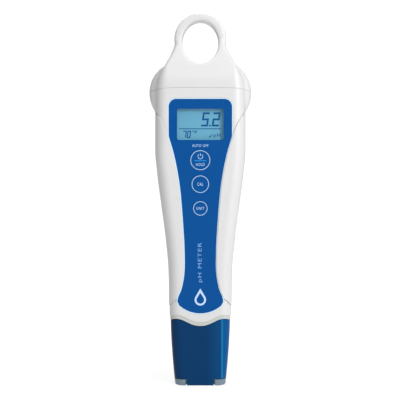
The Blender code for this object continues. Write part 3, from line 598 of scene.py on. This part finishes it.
def painted_light_plastic(name, half, shaded_side, middle, lit_side, painted_highlight, lit_edge):
    """Tinted plastic with painted light. Its colour changes across its width, which is twice `half`:
    painted shade on the left side, painted light on the right side.

    One narrow band of colour is a painted highlight down its thick right corner.
    """
    made = Finish(name)
    made.set(IOR=1.2)
    across = made.nodes.new("ShaderNodeSeparateXYZ")
    made.links.new(made.place, across.inputs[0])
    ramp = made.nodes.new("ShaderNodeValToRGB")
    # Painted shade on the left, painted light on the right, and a narrow painted highlight near the right
    # corner.
    stops = [
        (0.0, shaded_side), (0.2, middle), (0.6, middle), (0.8, lit_side), (0.845, lit_side),
        (0.865, painted_highlight), (0.89, lit_edge),
    ]
    elements = ramp.color_ramp.elements
    while len(elements) < len(stops):
        elements.new(0.5)
    for element, (at, colour) in zip(elements, stops):
        element.position = at
        element.color = colour
    share = made.nodes.new("ShaderNodeMapRange")
    share.inputs["From Min"].default_value = -half * MM
    share.inputs["From Max"].default_value = half * MM
    made.links.new(across.outputs["X"], share.inputs["Value"])
    made.links.new(share.outputs["Result"], ramp.inputs["Fac"])
    made.links.new(ramp.outputs["Color"], made.shader.inputs["Base Color"])
    made.roughness(made.noise(5, 4), 0.12, 0.2)
    made.bump(made.noise(0.4, 3), 0.003)
    return made.material


WHITE = moulded("shell_white", srgb(222, 222, 222), 0.36)
WHITE_REAR = moulded("grip_white", srgb(222, 222, 222), 0.42, grain=0.3, depth=0.010)
BAND = moulded("neck_grey", srgb(201, 204, 199), 0.45)
FILM = {"grain": 0.12, "depth": 0.002, "Specular_IOR_Level": 0.12}
LABEL = moulded("label_film_blue", srgb(0, 79, 150), 0.40, **FILM)
KEY_BLUE = moulded("key_film_blue", srgb(0, 80, 151), 0.42, **FILM)
PALE = moulded("print_pale", srgb(180, 216, 255), 0.35, depth=0.001)
PALE_RIM = moulded("print_pale_rim", srgb(216, 240, 255), 0.35, depth=0.001)
PALE_TEXT = moulded("print_pale_text", srgb(196, 222, 255), 0.35, depth=0.001)
PALE_BLUE = moulded("print_pale_blue", srgb(120, 172, 232), 0.35, depth=0.001)
BAR_BLUE = moulded("print_light_blue", srgb(12, 134, 210), 0.35, depth=0.001)
# The storage cap's blue, with painted shade and light across it and a painted highlight down its right
# corner.
CAP_BLUE = painted_light_plastic(
    "cap_blue_painted_light",
    half=14.5,
    shaded_side=srgb(0, 50, 90),
    middle=srgb(0, 56, 103),
    lit_side=srgb(0, 69, 119),
    painted_highlight=srgb(28, 124, 178),
    lit_edge=srgb(0, 83, 145),
)
SMOKE = moulded("cup_smoke", srgb(116, 136, 150), 0.2, grain=0.4, depth=0.003)
DARK = moulded("moulded_black", srgb(36, 36, 38), 0.45)
GREY = moulded("moulded_grey", srgb(150, 153, 155), 0.4)
RUBBER = moulded("rubber_black", srgb(30, 30, 31), 0.7, grain=0.35, depth=0.012)
LCD_FACE = moulded("display_glass", srgb(110, 178, 207), 0.35, depth=0.0005, Specular_IOR_Level=0.1)
LCD_INK = moulded("display_segments", srgb(4, 84, 148), 0.4, depth=0.0005, Specular_IOR_Level=0.1)
DIFFUSER = moulded("light_guide", srgb(214, 232, 240), 0.5)
BOARD = moulded("solder_mask_green", srgb(24, 96, 62), 0.35, grain=0.5, depth=0.01)
CERAMIC = moulded("porous_ceramic", srgb(232, 230, 222), 0.85, grain=0.15, depth=0.03)
BATTERY = moulded("cell_wrap", srgb(64, 70, 78), 0.3, Metallic=0.5)
LEAD_RED = moulded("lead_red", srgb(170, 30, 28), 0.5)
LEAD_WHITE = moulded("lead_white", srgb(222, 222, 222), 0.5)
NICKEL = metal("nickel_plate", srgb(200, 196, 186))
STEEL = metal("steel", srgb(196, 198, 200))
BRASS = metal("brass", srgb(201, 168, 96))
LENS = see_through("window_clear", srgb(96, 112, 122), 0.03)
GLASS = see_through("bulb_glass", srgb(225, 238, 242), 0.3)

BY_SLOT = {
    "white": WHITE, "white_rear": WHITE_REAR, "band": BAND, "label_blue": LABEL, "cap_blue": CAP_BLUE,
    "smoke": SMOKE, "clear": GLASS, "lcd": LCD_FACE, "diffuser": DIFFUSER, "board": BOARD, "dark": DARK,
    "grey": GREY, "rubber": RUBBER, "battery": BATTERY, "nickel": NICKEL, "steel": STEEL, "brass": BRASS,
    "ceramic": CERAMIC, "lead_red": LEAD_RED, "lead_white": LEAD_WHITE,
}


def dress_frame_nodes():
    """Gives every CAD node the finish of its slot. The skins below hide the ones they stand for."""
    for part in frame["record"]["subparts"]:
        mesh = frame["nodes"][part["node"]].data
        mesh.materials.clear()
        mesh.materials.append(BY_SLOT[part["material_slot"]])


# ---- The casing --------------------------------------------------------------------------------
def corner_radii(z, half):
    """The front and back corners: full up to the seam, then tighter as the shoulder draws in."""
    if z <= SEAM_Z:
        return BODY_RADII
    return [max(min(r, half - flat), NECK_ROUND) for r, flat in zip(BODY_RADII, FLAT_HALF)]


def body_rings(heights, inset=0.0):
    """Sections of the casing, with every face moved inwards by `inset`."""
    rings = []
    for z in heights:
        half = smooth_through(BODY_HALF_WIDTH, z)
        front = smooth_through(BODY_FRONT, z) + inset
        back = smooth_through(BODY_BACK, z) - inset
        r_front, r_back = (r - inset for r in corner_radii(z, half))
        rings.append(ring(half - inset, front, back, r_front, r_back, z))
    return rings


def hole_ring(grow, stations, sink):
    """The loop hole's ellipse, grown by `grow` and laid `sink` behind the face that `stations` gives."""
    row = []
    for x, z in circle(0, 0, 1, 96):
        z = HOLE_Z + (HOLE_HALF_HIGH + grow) * z
        row.append(((HOLE_HALF_WIDE + grow) * x, smooth_through(stations, z) + sink, z))
    return row


def hole_end(stations, outward):
    """Sections of the loop's hole from outside a face to the inner end of its rounded edge.

    `outward` is -1 at the front and 1 at the back.
    """
    rings = [hole_ring(HOLE_ROUND, stations, outward * BEYOND)]
    for turn in levels(0, math.pi / 2, 0.26):
        grow = HOLE_ROUND * (1 - math.sin(turn))
        sink = HOLE_ROUND * (1 - math.cos(turn))
        rings.append(hole_ring(grow, stations, -outward * sink))
    return rings


def whole_form():
    """The outside of the casing and the battery cap together, with the wings and the loop melted in."""
    form = loft("whole_form", body_rings(levels(FORM_LOW, FORM_TOP, 1.5)))
    wings = arc(EAR_X, EAR_Z, EAR_R, 90, -90, 48) + arc(-EAR_X, EAR_Z, EAR_R, 270, 90, 48)
    join(form, plate("wings", [wings], (EAR_FRONT, EAR_BACK), EAR_ROUND))
    join(form, plate("loop", [circle(0, LOOP_Z, LOOP_R, 96)], (LOOP_FRONT, LOOP_BACK), LOOP_ROUND))
    cut(form, loft("loop_hole", hole_end(BODY_FRONT, -1) + hole_end(BODY_BACK, 1)[::-1]))
    return melt(form)


def below_wave(name, offset):
    """A block that reaches up to the wavy line raised by `offset`."""
    edge = [(x, wave(x) + offset) for x in levels(-WAVE_SPAN, WAVE_SPAN, 0.4)]
    base = [(WAVE_SPAN, WAVE_BLOCK_LOW), (-WAVE_SPAN, WAVE_BLOCK_LOW)]
    return plate(name, [edge + base], (-BEYOND, BEYOND))


def beyond_seam(name, offset, end):
    """A block from the gently arched seam, raised by `offset`, to the height `end`."""
    edge = []
    for x in levels(-BEYOND, BEYOND, 0.5):
        drop = SEAM_DROP * min(abs(x) / SEAM_DROP_X, SEAM_DROP_END) ** 4
        edge.append((x, SEAM_Z + SEAM_RISE - drop + offset))
    return plate(name, [edge + [(BEYOND, end), (-BEYOND, end)]], (-BEYOND, BEYOND))


def saddle_edge(gap):
    """The right side's edge between the rear shell and the housing, from the top to the foot."""
    edge = [(BEYOND, SADDLE_TOP + gap)]
    edge += [(x - gap, z) for x, z in CREASE]
    edge += [(label_half_width(z) - STRIP_INSET - gap, z) for z in levels(STRIP_TOP, STRIP_BOTTOM, 2.5)]
    edge += [(x - gap, z - gap) for x, z in SADDLE_FOOT]
    edge += [(BEYOND, SADDLE_BOTTOM - gap)]
    return edge


def saddle(name, gap, form, bevel=0.0):
    """The part of the pen that the rear shell takes: all of the back, and the sides up to the label.

    `bevel` chamfers its edge, just above the surface of `form`.
    """
    edge = saddle_edge(gap)
    surface = BVHTree.FromObject(form, bpy.context.evaluated_depsgraph_get())
    ahead, chamfer_high, chamfer_low, inside = [], [], [], []
    for i, (x, z) in enumerate(edge):
        following, before = edge[min(i + 1, len(edge) - 1)], edge[max(i - 1, 0)]
        along = (Vector(following) - Vector(before)).normalized() * bevel
        hit = surface.ray_cast(Vector((x, -BEYOND, z)) * MM, Vector((0, 1, 0)))[0]
        face = hit.y / MM if hit else 0.0
        tucked_x, tucked_z = x - along.y, z + along.x
        ahead.append((tucked_x, -BEYOND, tucked_z))
        chamfer_high.append((tucked_x, face - bevel, tucked_z))
        chamfer_low.append((x, face, z))
        inside.append((x, SADDLE_OVERLAP, z))
    rows = [ahead, chamfer_high, chamfer_low, inside] if bevel else [ahead, inside]
    block = loft(name, rows)
    join(block, loft(name + "_left", [[(-x, y, z) for x, y, z in reversed(row)] for row in rows]))
    heights = (SADDLE_BOTTOM - gap, SADDLE_TOP + gap)
    return join(block, box(name + "_back", (-BEYOND, BEYOND), (0, BEYOND), heights))


def cut_front(obj):
    """Cuts the label's recess, the window and the key seats."""
    cut(obj, plate("recess", [label_outline(RIM_WIDTH + HALF_SEAM)], (AHEAD, RECESS_FLOOR)))
    cut(obj, plate("pocket", [window_outline(POCKET_LAP, POCKET_CORNER)], (AHEAD, POCKET_FLOOR)))
    cut(obj, plate("opening", [window_outline(0, WINDOW_CORNER)], (AHEAD, BEHIND_FRONT_WALL)))
    for name, z, r in KEYS:
        seat, bore = circle(0, z, r + KEY_SEAT_GAP), circle(0, z, r * KEY_STEM_SHARE + KEY_STEM_GAP)
        cut(obj, plate(name + "_seat", [seat], (AHEAD, KEY_SEAT_FLOOR)))
        cut(obj, plate(name + "_bore", [bore], (AHEAD, BEHIND_FRONT_WALL)))


def add_spigot(housing):
    """The spigot under the battery cap, with the seal's groove round it and the fastener's slot."""
    join(housing, prism("spigot", SPIGOT, SPIGOT_Z))
    join(housing, prism("spigot_core", SPIGOT_CORE, SPIGOT_CORE_Z))
    lip = [ring(*SPIGOT, z) for z in SPIGOT_LIP_Z] + [ring(*SPIGOT_TOP, SPIGOT_TOP_Z)]
    join(housing, loft("spigot_lip", lip))
    cut(housing, prism("spigot_room", SPIGOT_ROOM, SPIGOT_ROOM_Z))
    slot = [(FASTENER_HOLE_R, FASTENER_SLOT_TOP), (-FASTENER_HOLE_R, FASTENER_SLOT_TOP)]
    slot += arc(0, FASTENER_Z, FASTENER_HOLE_R, 180, 360, 16)
    cut(housing, plate("fastener_slot", [slot], FASTENER_SLOT_Y))


def build_housing(form):
    housing = duplicate(form, "housing_skin")
    cut(housing, beyond_seam("above_seam", -HALF_SEAM, PAST_TOP))
    cut(housing, loft("room", body_rings(levels(ROOM_LOW, ROOM_TOP, 4), WALL)))
    add_spigot(housing)
    cut(housing, below_wave("collar_edge", BAND_HEIGHT + 2 * HALF_SEAM))
    cut(housing, saddle("saddle_for_housing", HALF_SEAM, form))
    cut_front(housing)
    dress(housing, "pen", WHITE, ["housing"])


def seat_screw(rear, name):
    """Gives a rear screw its boss inside, its sunk seat and its hole."""
    (x0, x1), (y0, y1), (z0, z1) = span(name)
    middle = ((x0 + x1) / 2, 0, (z0 + z1) / 2)
    r = (x1 - x0) / 2 + SCREW_GAP
    boss = disc(r + SCREW_BOSS_WALL, y1 - SCREW_BOSS_DEPTH, y1 + SCREW_BOSS_PROUD)
    join(rear, turned(name + "_boss", boss, middle, 40))
    cut(rear, turned(name + "_seat", disc(r, y1 - SCREW_HEAD_SINK, y1 + SCREW_SEAT_REACH), middle, 40))
    cut(rear, turned(name + "_hole", disc(SCREW_HOLE_R, y0, y1), middle, 24))


def build_rear_shell(form):
    rear = swell(duplicate(form, "rear_skin"), REAR_PROUD)
    keep_inside(rear, saddle("saddle_for_rear", -HALF_SEAM, form, REAR_BEVEL))
    cut(rear, loft("rear_room", body_rings(levels(REAR_ROOM_LOW, REAR_ROOM_TOP, 4), WALL)))
    cut_front(rear)
    for name in ("rear_screw_left", "rear_screw_right", "rear_screw_lower"):
        seat_screw(rear, name)
    dress(rear, "pen", WHITE_REAR, ["rear_shell"])


def build_battery_cap(form):
    cap = duplicate(form, "battery_cap_skin")
    cut(cap, beyond_seam("below_seam", HALF_SEAM, GROUND))
    cut(cap, loft("cap_room", [ring(*section) for section in BATTERY_CAP_ROOM]))
    low, high = span("locking_fastener")[2]
    middle = (0, 0, (low + high) / 2)
    rim = span("battery_cap")[1][1]
    boss = [
        (0, FASTENER_BOSS_FLOOR),
        (FASTENER_BOSS_R, FASTENER_BOSS_FLOOR),
        (FASTENER_BOSS_R, rim - FASTENER_BOSS_CHAMFER),
        (FASTENER_BOSS_R - FASTENER_BOSS_CHAMFER, rim),
        (0, rim),
    ]
    join(cap, turned("boss", boss, middle))
    seam = SEAM_Z + SEAM_RISE + HALF_SEAM
    cut(cap, box("below_boss", BELOW_BOSS_X, BELOW_BOSS_Y, (BELOW_BOSS_LOW, seam)))
    cut(cap, turned("counterbore", disc(COUNTERBORE_R, *COUNTERBORE_Y), middle))
    cut(cap, turned("bore", disc(FASTENER_HOLE_R, *FASTENER_BORE_Y), middle))
    dress(cap, "battery_cap", WHITE, ["battery_cap"])


# ---- The front ---------------------------------------------------------------------------------
def inlay(name, outlines, body, material, face=LABEL_FACE, height=PRINT):
    """Printing or a thin inlay whose front stands `height` off a face."""
    dress(plate(name, outlines, (face - height, face + PRINT_ROOT)), body, material)


def build_label():
    holes = [window_outline(0, WINDOW_CORNER)] + [circle(0, z, r + KEY_GAP) for _, z, r in KEYS]
    label = plate("label_skin", [label_outline(RIM_WIDTH)] + holes, span("front_label")[1])
    dress(label, "pen", LABEL, ["front_label"])
    inlay("label_rim", [label_outline(RIM_WIDTH), label_outline()], "pen", PALE_RIM)


def lettering(name, words, centre, size, body, material, face, upright=False, bold=0.0):
    """Plain letters that fill a width and height, reading up the pen if `upright`."""
    curve = bpy.data.curves.new(name, "FONT")
    curve.body = words
    curve.offset = bold
    curve.space_character = LETTER_SPACING
    curve.align_x = "CENTER"
    curve.align_y = "CENTER"
    curve.extrude = 0.5  # one unit deep in all, which `fit` brings to its size
    curve.resolution_u = 3
    obj = link(bpy.data.objects.new(name, curve))
    bpy.context.view_layer.update()
    low, high = Vector(obj.bound_box[0]), Vector(obj.bound_box[6])
    width, height = (high - low).x, (high - low).y
    depth = PRINT + PRINT_ROOT
    fit = Matrix.Diagonal((size[0] / width * MM, size[1] / height * MM, depth * MM, 1))
    shift = Matrix.Translation(-(low + high) / 2)
    turn = Matrix.Rotation(math.radians(90 if upright else 0), 4, "Z")
    put = Matrix.Translation((centre[0] * MM, 0, centre[1] * MM))
    obj.matrix_world = put @ facing_front(face - PRINT + depth / 2) @ turn @ fit @ shift
    dress(as_mesh(obj), body, material)


def build_key(name, z, r):
    """A round key with its stem, its plunger and its printed ring. Gives back the depth of its face."""
    node = name + "_key"
    face, inner = span(node)[1]
    stem = r * KEY_STEM_SHARE
    profile = [
        (0, inner), (KEY_PLUNGER_R, inner), (KEY_PLUNGER_R, KEY_STEM_END), (stem, KEY_STEM_END),
        (stem, RECESS_FLOOR), (r, RECESS_FLOOR), (r, face + KEY_EDGE), (r - KEY_EDGE, face), (0, face),
    ]
    key = turned(node + "_skin", profile, (0, 0, z), 96)
    dress(key, node, KEY_BLUE, [node])
    outside = r - RING_INSET
    rings = [circle(0, z, outside, 96), circle(0, z, outside - RING_STROKE, 96)]
    inlay(name + "_ring", rings, node, PALE, face)
    return face


def build_power_sign(face):
    """The open ring with a bar at its top, and the line below it."""
    start, end = 90 + POWER_SIGN_GAP, 450 - POWER_SIGN_GAP
    sign = arc(0, POWER_SIGN_Z, POWER_SIGN_R, start, end, 40)
    sign += arc(0, POWER_SIGN_Z, POWER_SIGN_INNER_R, end, start, 40)
    inlay("power_sign_ring", [sign], "power_key", PALE, face)
    inlay("power_sign_bar", [rounded_rectangle(*POWER_SIGN_BAR, 3)], "power_key", PALE, face)
    inlay("power_line", [rounded_rectangle(*POWER_LINE, 3)], "power_key", BAR_BLUE, face)


def build_keys():
    faces = {name: build_key(name, z, r) for name, z, r in KEYS}
    build_power_sign(faces["power"])
    lettering("power_word", "HOLD", (0, 108.3), (4.2, 1.4), "power_key", PALE_TEXT, faces["power"])
    lettering("cal_word", "CAL", (0, 98.7), (2.9, 1.5), "cal_key", PALE_TEXT, faces["cal"])
    lettering("units_word", "UNIT", (0, 86.9), (3.8, 1.35), "units_key", PALE_TEXT, faces["units"])


def droplet(low, high, width):
    """A water drop's outline: a round foot and a pointed top."""
    r = width / 2
    cz = low + r
    lean = math.degrees(math.acos(r / (high - cz)))
    return [(0, high)] + arc(0, cz, r, 90 - lean, -270 + lean, 40)


def build_printing():
    lettering("auto_off_word", "AUTO OFF", (0, 117.5), (7.9, 1.3), "pen", PALE, LABEL_FACE, bold=0.004)
    lettering("name_word", "pH METER", (0, 60.6), (19.3, 2.5), "pen", PALE_BLUE, LABEL_FACE, upright=True)
    inlay("drop_sign", [droplet(*DROP_OUTSIDE), droplet(*DROP_INSIDE)], "pen", PALE_TEXT)


# ---- The display -------------------------------------------------------------------------------
# The lit bars of each sign: a to f run clockwise round it from the top, and g is in the middle.
SEGMENTS = {"0": "abcdef", "2": "abged", "5": "afgcd", "7": "abc", "F": "aefg"}
SLANT, SEGMENT_GAP = 0.14, 0.05
SIGNS = [  # sign, lower left corner, width, height and stroke
    ("5", 0.35, 127.0, 3.35, 6.9, 0.9),
    ("2", 5.55, 127.0, 3.45, 6.9, 0.9),
    ("7", -8.75, 121.3, 1.7, 3.6, 0.5),
    ("0", -6.7, 121.3, 1.75, 3.6, 0.5),
    ("F", -2.85, 123.3, 1.1, 1.7, 0.34),
]
POINT = (4.7, 127.4, 0.45)
DEGREE, DEGREE_HOLE = (-3.55, 124.65, 0.4), (-3.55, 124.65, 0.14)
RULE = (-10.5, 10.2, 125.65, 126.05, 0.1)
TICK = [(4.2, 122.3), (4.55, 122.55), (4.8, 122.1), (5.5, 123.2), (5.8, 123.0), (4.85, 121.4)]
INK_HEIGHT = 0.02


def segment_bars(sign, x, z, width, height, stroke):
    """Outlines of a seven-segment sign whose lower left corner is at (x, z)."""
    rows = {"d": 0.0, "g": (height - stroke) / 2, "a": height - stroke}
    right = width - stroke
    upright = {"f": (0.0, "g", "a"), "b": (right, "g", "a"), "e": (0.0, "d", "g"), "c": (right, "d", "g")}
    bars = []
    for letter in SEGMENTS[sign]:
        if letter in rows:
            u0, u1, v0, v1 = 0.0, width, rows[letter], rows[letter] + stroke
        else:
            u0, below, above = upright[letter]
            u1 = u0 + stroke
            v0 = rows[below] + (stroke + SEGMENT_GAP if below in SEGMENTS[sign] else stroke / 2)
            v1 = rows[above] - (SEGMENT_GAP if above in SEGMENTS[sign] else -stroke / 2 + SEGMENT_GAP)
        corners = [(u0, v0), (u1, v0), (u1, v1), (u0, v1)]
        bars.append([(x + u + SLANT * v, z + v) for u, v in corners])
    return bars


def build_display():
    face = span("lcd_cell")[1][0]
    ink = []
    for sign in SIGNS:
        ink += segment_bars(*sign)
    ink += [circle(*dot, 20) for dot in (POINT, DEGREE, DEGREE_HOLE)]
    ink += [rounded_rectangle(*RULE, 2), TICK]
    inlay("display_ink", ink, "pen", LCD_INK, face, INK_HEIGHT)
    lettering("display_unit", "pH", (8.15, 122.45), (3.4, 2.3), "pen", LCD_INK, face, bold=0.01)
    lens = plate("window_skin", [window_outline(LENS_LAP, LENS_CORNER)], span("lcd_window")[1])
    dress(lens, "pen", LENS, ["lcd_window"])


# ---- The probe end -----------------------------------------------------------------------------
def cap_rings(heights, inset=0.0, foot=0.0):
    """Sections of the storage cap, with a rounded foot if `foot` is its radius."""
    rings = []
    for z in heights:
        tuck = inset
        if z < foot:
            tuck += foot - math.sqrt(max(foot**2 - (foot - z) ** 2, 0))
        half = smooth_through(CAP_HALF_WIDTH, z) - tuck
        deep = smooth_through(CAP_HALF_DEPTH, z) - tuck
        r = max(CAP_CORNER - tuck, CAP_CORNER_LEAST)
        rings.append(ring(half, -deep, deep, r, r, z))
    return rings


def feet(name, side_gap=0.0, gap=0.0):
    """Blocks at the four corners of the cap's base."""
    blocks = None
    for sx in (-1, 1):
        for sy in (-1, 1):
            x = sorted((sx * (FOOT_X + side_gap), sx * FOOT_REACH_X))
            y = sorted((sy * (FOOT_Y + gap), sy * FOOT_REACH_Y))
            block = box(f"{name}_{sx}_{sy}", x, y, (FOOT_LOW, FOOT_HIGH - gap))
            blocks = block if blocks is None else join(blocks, block)
    return blocks


def build_storage_cap():
    heights = levels(0, CAP_FOOT_ROUND, 0.1) + levels(1, CAP_TOP, 1)
    cap = loft("storage_cap_skin", cap_rings(heights, foot=CAP_FOOT_ROUND))
    cut(cap, loft("cap_hollow", cap_rings(levels(CAP_FLOOR, CAP_HOLLOW_TOP, 2), CAP_WALL)))
    keep_inside(cap, below_wave("cap_edge", 0.0))
    cut(cap, feet("notch"))
    dress(cap, "storage_cap", CAP_BLUE, ["storage_cap"])


def foot_blocks():
    """The cup's four feet, which take up the cap's corners."""
    heights = levels(0, CAP_FOOT_ROUND, 0.1) + levels(1, FOOT_BLOCK_TOP, 0.7)
    blocks = loft("feet", cap_rings(heights, foot=CAP_FOOT_ROUND))
    keep_inside(blocks, feet("foot", FOOT_GAP, CUP_GAP))
    return blocks


def foot_webs():
    """Webs that close the gap beside each foot further in, where the cup joins it."""
    webs = feet("foot_web", CUP_GAP, CUP_GAP)
    x = (-FOOT_X - FOOT_WEB_LAP, FOOT_X + FOOT_WEB_LAP)
    keep_inside(webs, box("web_span", x, (-FOOT_WEB, FOOT_WEB), (FOOT_WEB_LOW, FOOT_HIGH)))
    return webs


def build_storage_cup():
    outside = CAP_WALL + CUP_GAP
    cup = loft("storage_cup_skin", cap_rings(levels(CUP_BASE, CUP_TOP, 2), outside))
    join(cup, foot_blocks())
    join(cup, foot_webs())
    cut(cup, loft("cup_hollow", cap_rings(levels(CUP_FLOOR, CUP_HOLLOW_TOP, 2), outside + CUP_WALL)))
    dress(cup, "storage_cap", SMOKE, ["storage_cup"])


def build_neck():
    """The probe holder: the pale band, the block above it and the spigot that the storage cap fits over."""
    holder = prism("neck_skin", NECK, levels(NECK_LOW, NECK_TOP, 1))
    keep_inside(holder, below_wave("band_top", BAND_HEIGHT + BAND_LAP))
    cut(holder, below_wave("band_bottom", BAND_LAP))
    join(holder, prism("neck_block", NECK_BLOCK, NECK_BLOCK_Z))
    half, front, back, r_front, r_back = CAP_SPIGOT
    tapered = [ring(half - t, front + t, back - t, r_front - t, r_back - t, z) for z, t in CAP_SPIGOT_TAPER]
    join(holder, loft("cap_spigot", tapered))
    groove = prism("gasket_groove", GASKET_GROOVE, GASKET_GROOVE_Z)
    cut(groove, prism("gasket_core", GASKET_CORE, GASKET_CORE_Z))
    cut(holder, groove)
    bore = turned("probe_bore", disc(PROBE_BORE_R, -PROBE_BORE_HIGH, -PROBE_BORE_LOW), (0, 0, 0))
    bore.data.transform(Matrix.Rotation(math.radians(-90), 4, "X"))
    cut(holder, bore)
    dress(holder, "pen", BAND, ["probe_holder"])


# ---- The room ----------------------------------------------------------------------------------
def build_stage():
    """A pale floor that glows like a light table, its glow dimmed near the pen as painted shade round its
    foot, so that its shadow shows.
    """
    bm = bmesh.new()
    bmesh.ops.create_grid(bm, x_segments=1, y_segments=1, size=FLOOR_SIZE)
    floor = from_bmesh("floor", bm)
    made = Finish("floor_white")
    made.set(Roughness=0.9, Specular_IOR_Level=0.1, Emission_Color=(1, 1, 1, 1))
    white = (1, 1, 1)
    made.colour(made.noise(400, 2), shaded(white, FLOOR_SHADE), shaded(white, FLOOR_SHADE + 0.01))
    # The glow is dimmer near the pen: painted shade round where it stands.
    away = made.nodes.new("ShaderNodeVectorMath")
    away.operation = "LENGTH"
    made.links.new(made.place, away.inputs[0])
    glow = made.nodes.new("ShaderNodeMapRange")
    glow.inputs["From Min"].default_value = GLOW_START
    glow.inputs["From Max"].default_value = GLOW_END
    glow.inputs["To Min"].default_value = FLOOR_GLOW_NEAR
    glow.inputs["To Max"].default_value = FLOOR_GLOW_FAR
    made.links.new(away.outputs["Value"], glow.inputs["Value"])
    path = made.nodes.new("ShaderNodeLightPath")
    seen = made.nodes.new("ShaderNodeMix")
    seen.inputs["A"].default_value = FLOOR_BOUNCE
    made.links.new(path.outputs["Is Camera Ray"], seen.inputs["Factor"])
    made.links.new(glow.outputs["Result"], seen.inputs["B"])
    made.links.new(seen.outputs["Result"], made.shader.inputs["Emission Strength"])
    floor.data.materials.append(made.material)
    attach(floor, "storage_cap")  # the cap is what stands on the floor, also when it is off the pen


def build_world():
    """A dim room, with a white backdrop that only the camera sees."""
    world = bpy.data.worlds.new("studio")
    bpy.context.scene.world = world
    world.use_nodes = True
    nodes, links = world.node_tree.nodes, world.node_tree.links
    surround = nodes["Background"]
    surround.inputs["Color"].default_value = (1, 1, 1, 1)
    surround.inputs["Strength"].default_value = ROOM_LIGHT
    backdrop = nodes.new("ShaderNodeBackground")
    backdrop.inputs["Color"].default_value = (1, 1, 1, 1)
    backdrop.inputs["Strength"].default_value = BACKDROP_LIGHT
    path = nodes.new("ShaderNodeLightPath")
    mix = nodes.new("ShaderNodeMixShader")
    links.new(path.outputs["Is Camera Ray"], mix.inputs["Fac"])
    links.new(surround.outputs["Background"], mix.inputs[1])
    links.new(backdrop.outputs["Background"], mix.inputs[2])
    links.new(mix.outputs["Shader"], nodes["World Output"].inputs["Surface"])


def softbox(name, side, height, far, size, watts):
    """A rectangular lamp aimed at the pen: `side` degrees right of the camera, `height` degrees up."""
    data = bpy.data.lights.new(name, "AREA")
    data.shape = "RECTANGLE"
    data.size, data.size_y = size
    data.energy = watts
    lamp = link(bpy.data.objects.new(name, data))
    turn, lift = math.radians(side), math.radians(height)
    away = Vector((math.sin(turn) * math.cos(lift), -math.cos(turn) * math.cos(lift), math.sin(lift)))
    lamp.location = Vector(AIM) + away * far
    lamp.rotation_euler = away.to_track_quat("Z", "Y").to_euler()


def build_camera():
    data = bpy.data.cameras.new("camera")
    data.sensor_width = SENSOR_WIDTH
    data.lens = FOCAL_LENGTH
    camera = link(bpy.data.objects.new("camera", data))
    camera.location = CAMERA_AT
    camera.rotation_euler = (math.radians(90), 0, 0)
    bpy.context.scene.camera = camera
    bpy.context.scene.view_settings.view_transform = "Standard"


def main():
    build_camera()
    build_stage()
    build_world()
    for lamp in LAMPS:
        softbox(*lamp)
    dress_frame_nodes()
    form = whole_form()
    build_housing(form)
    build_rear_shell(form)
    build_battery_cap(form)
    bpy.data.objects.remove(form)
    build_label()
    build_keys()
    build_printing()
    build_display()
    build_neck()
    build_storage_cap()
    build_storage_cup()


main()
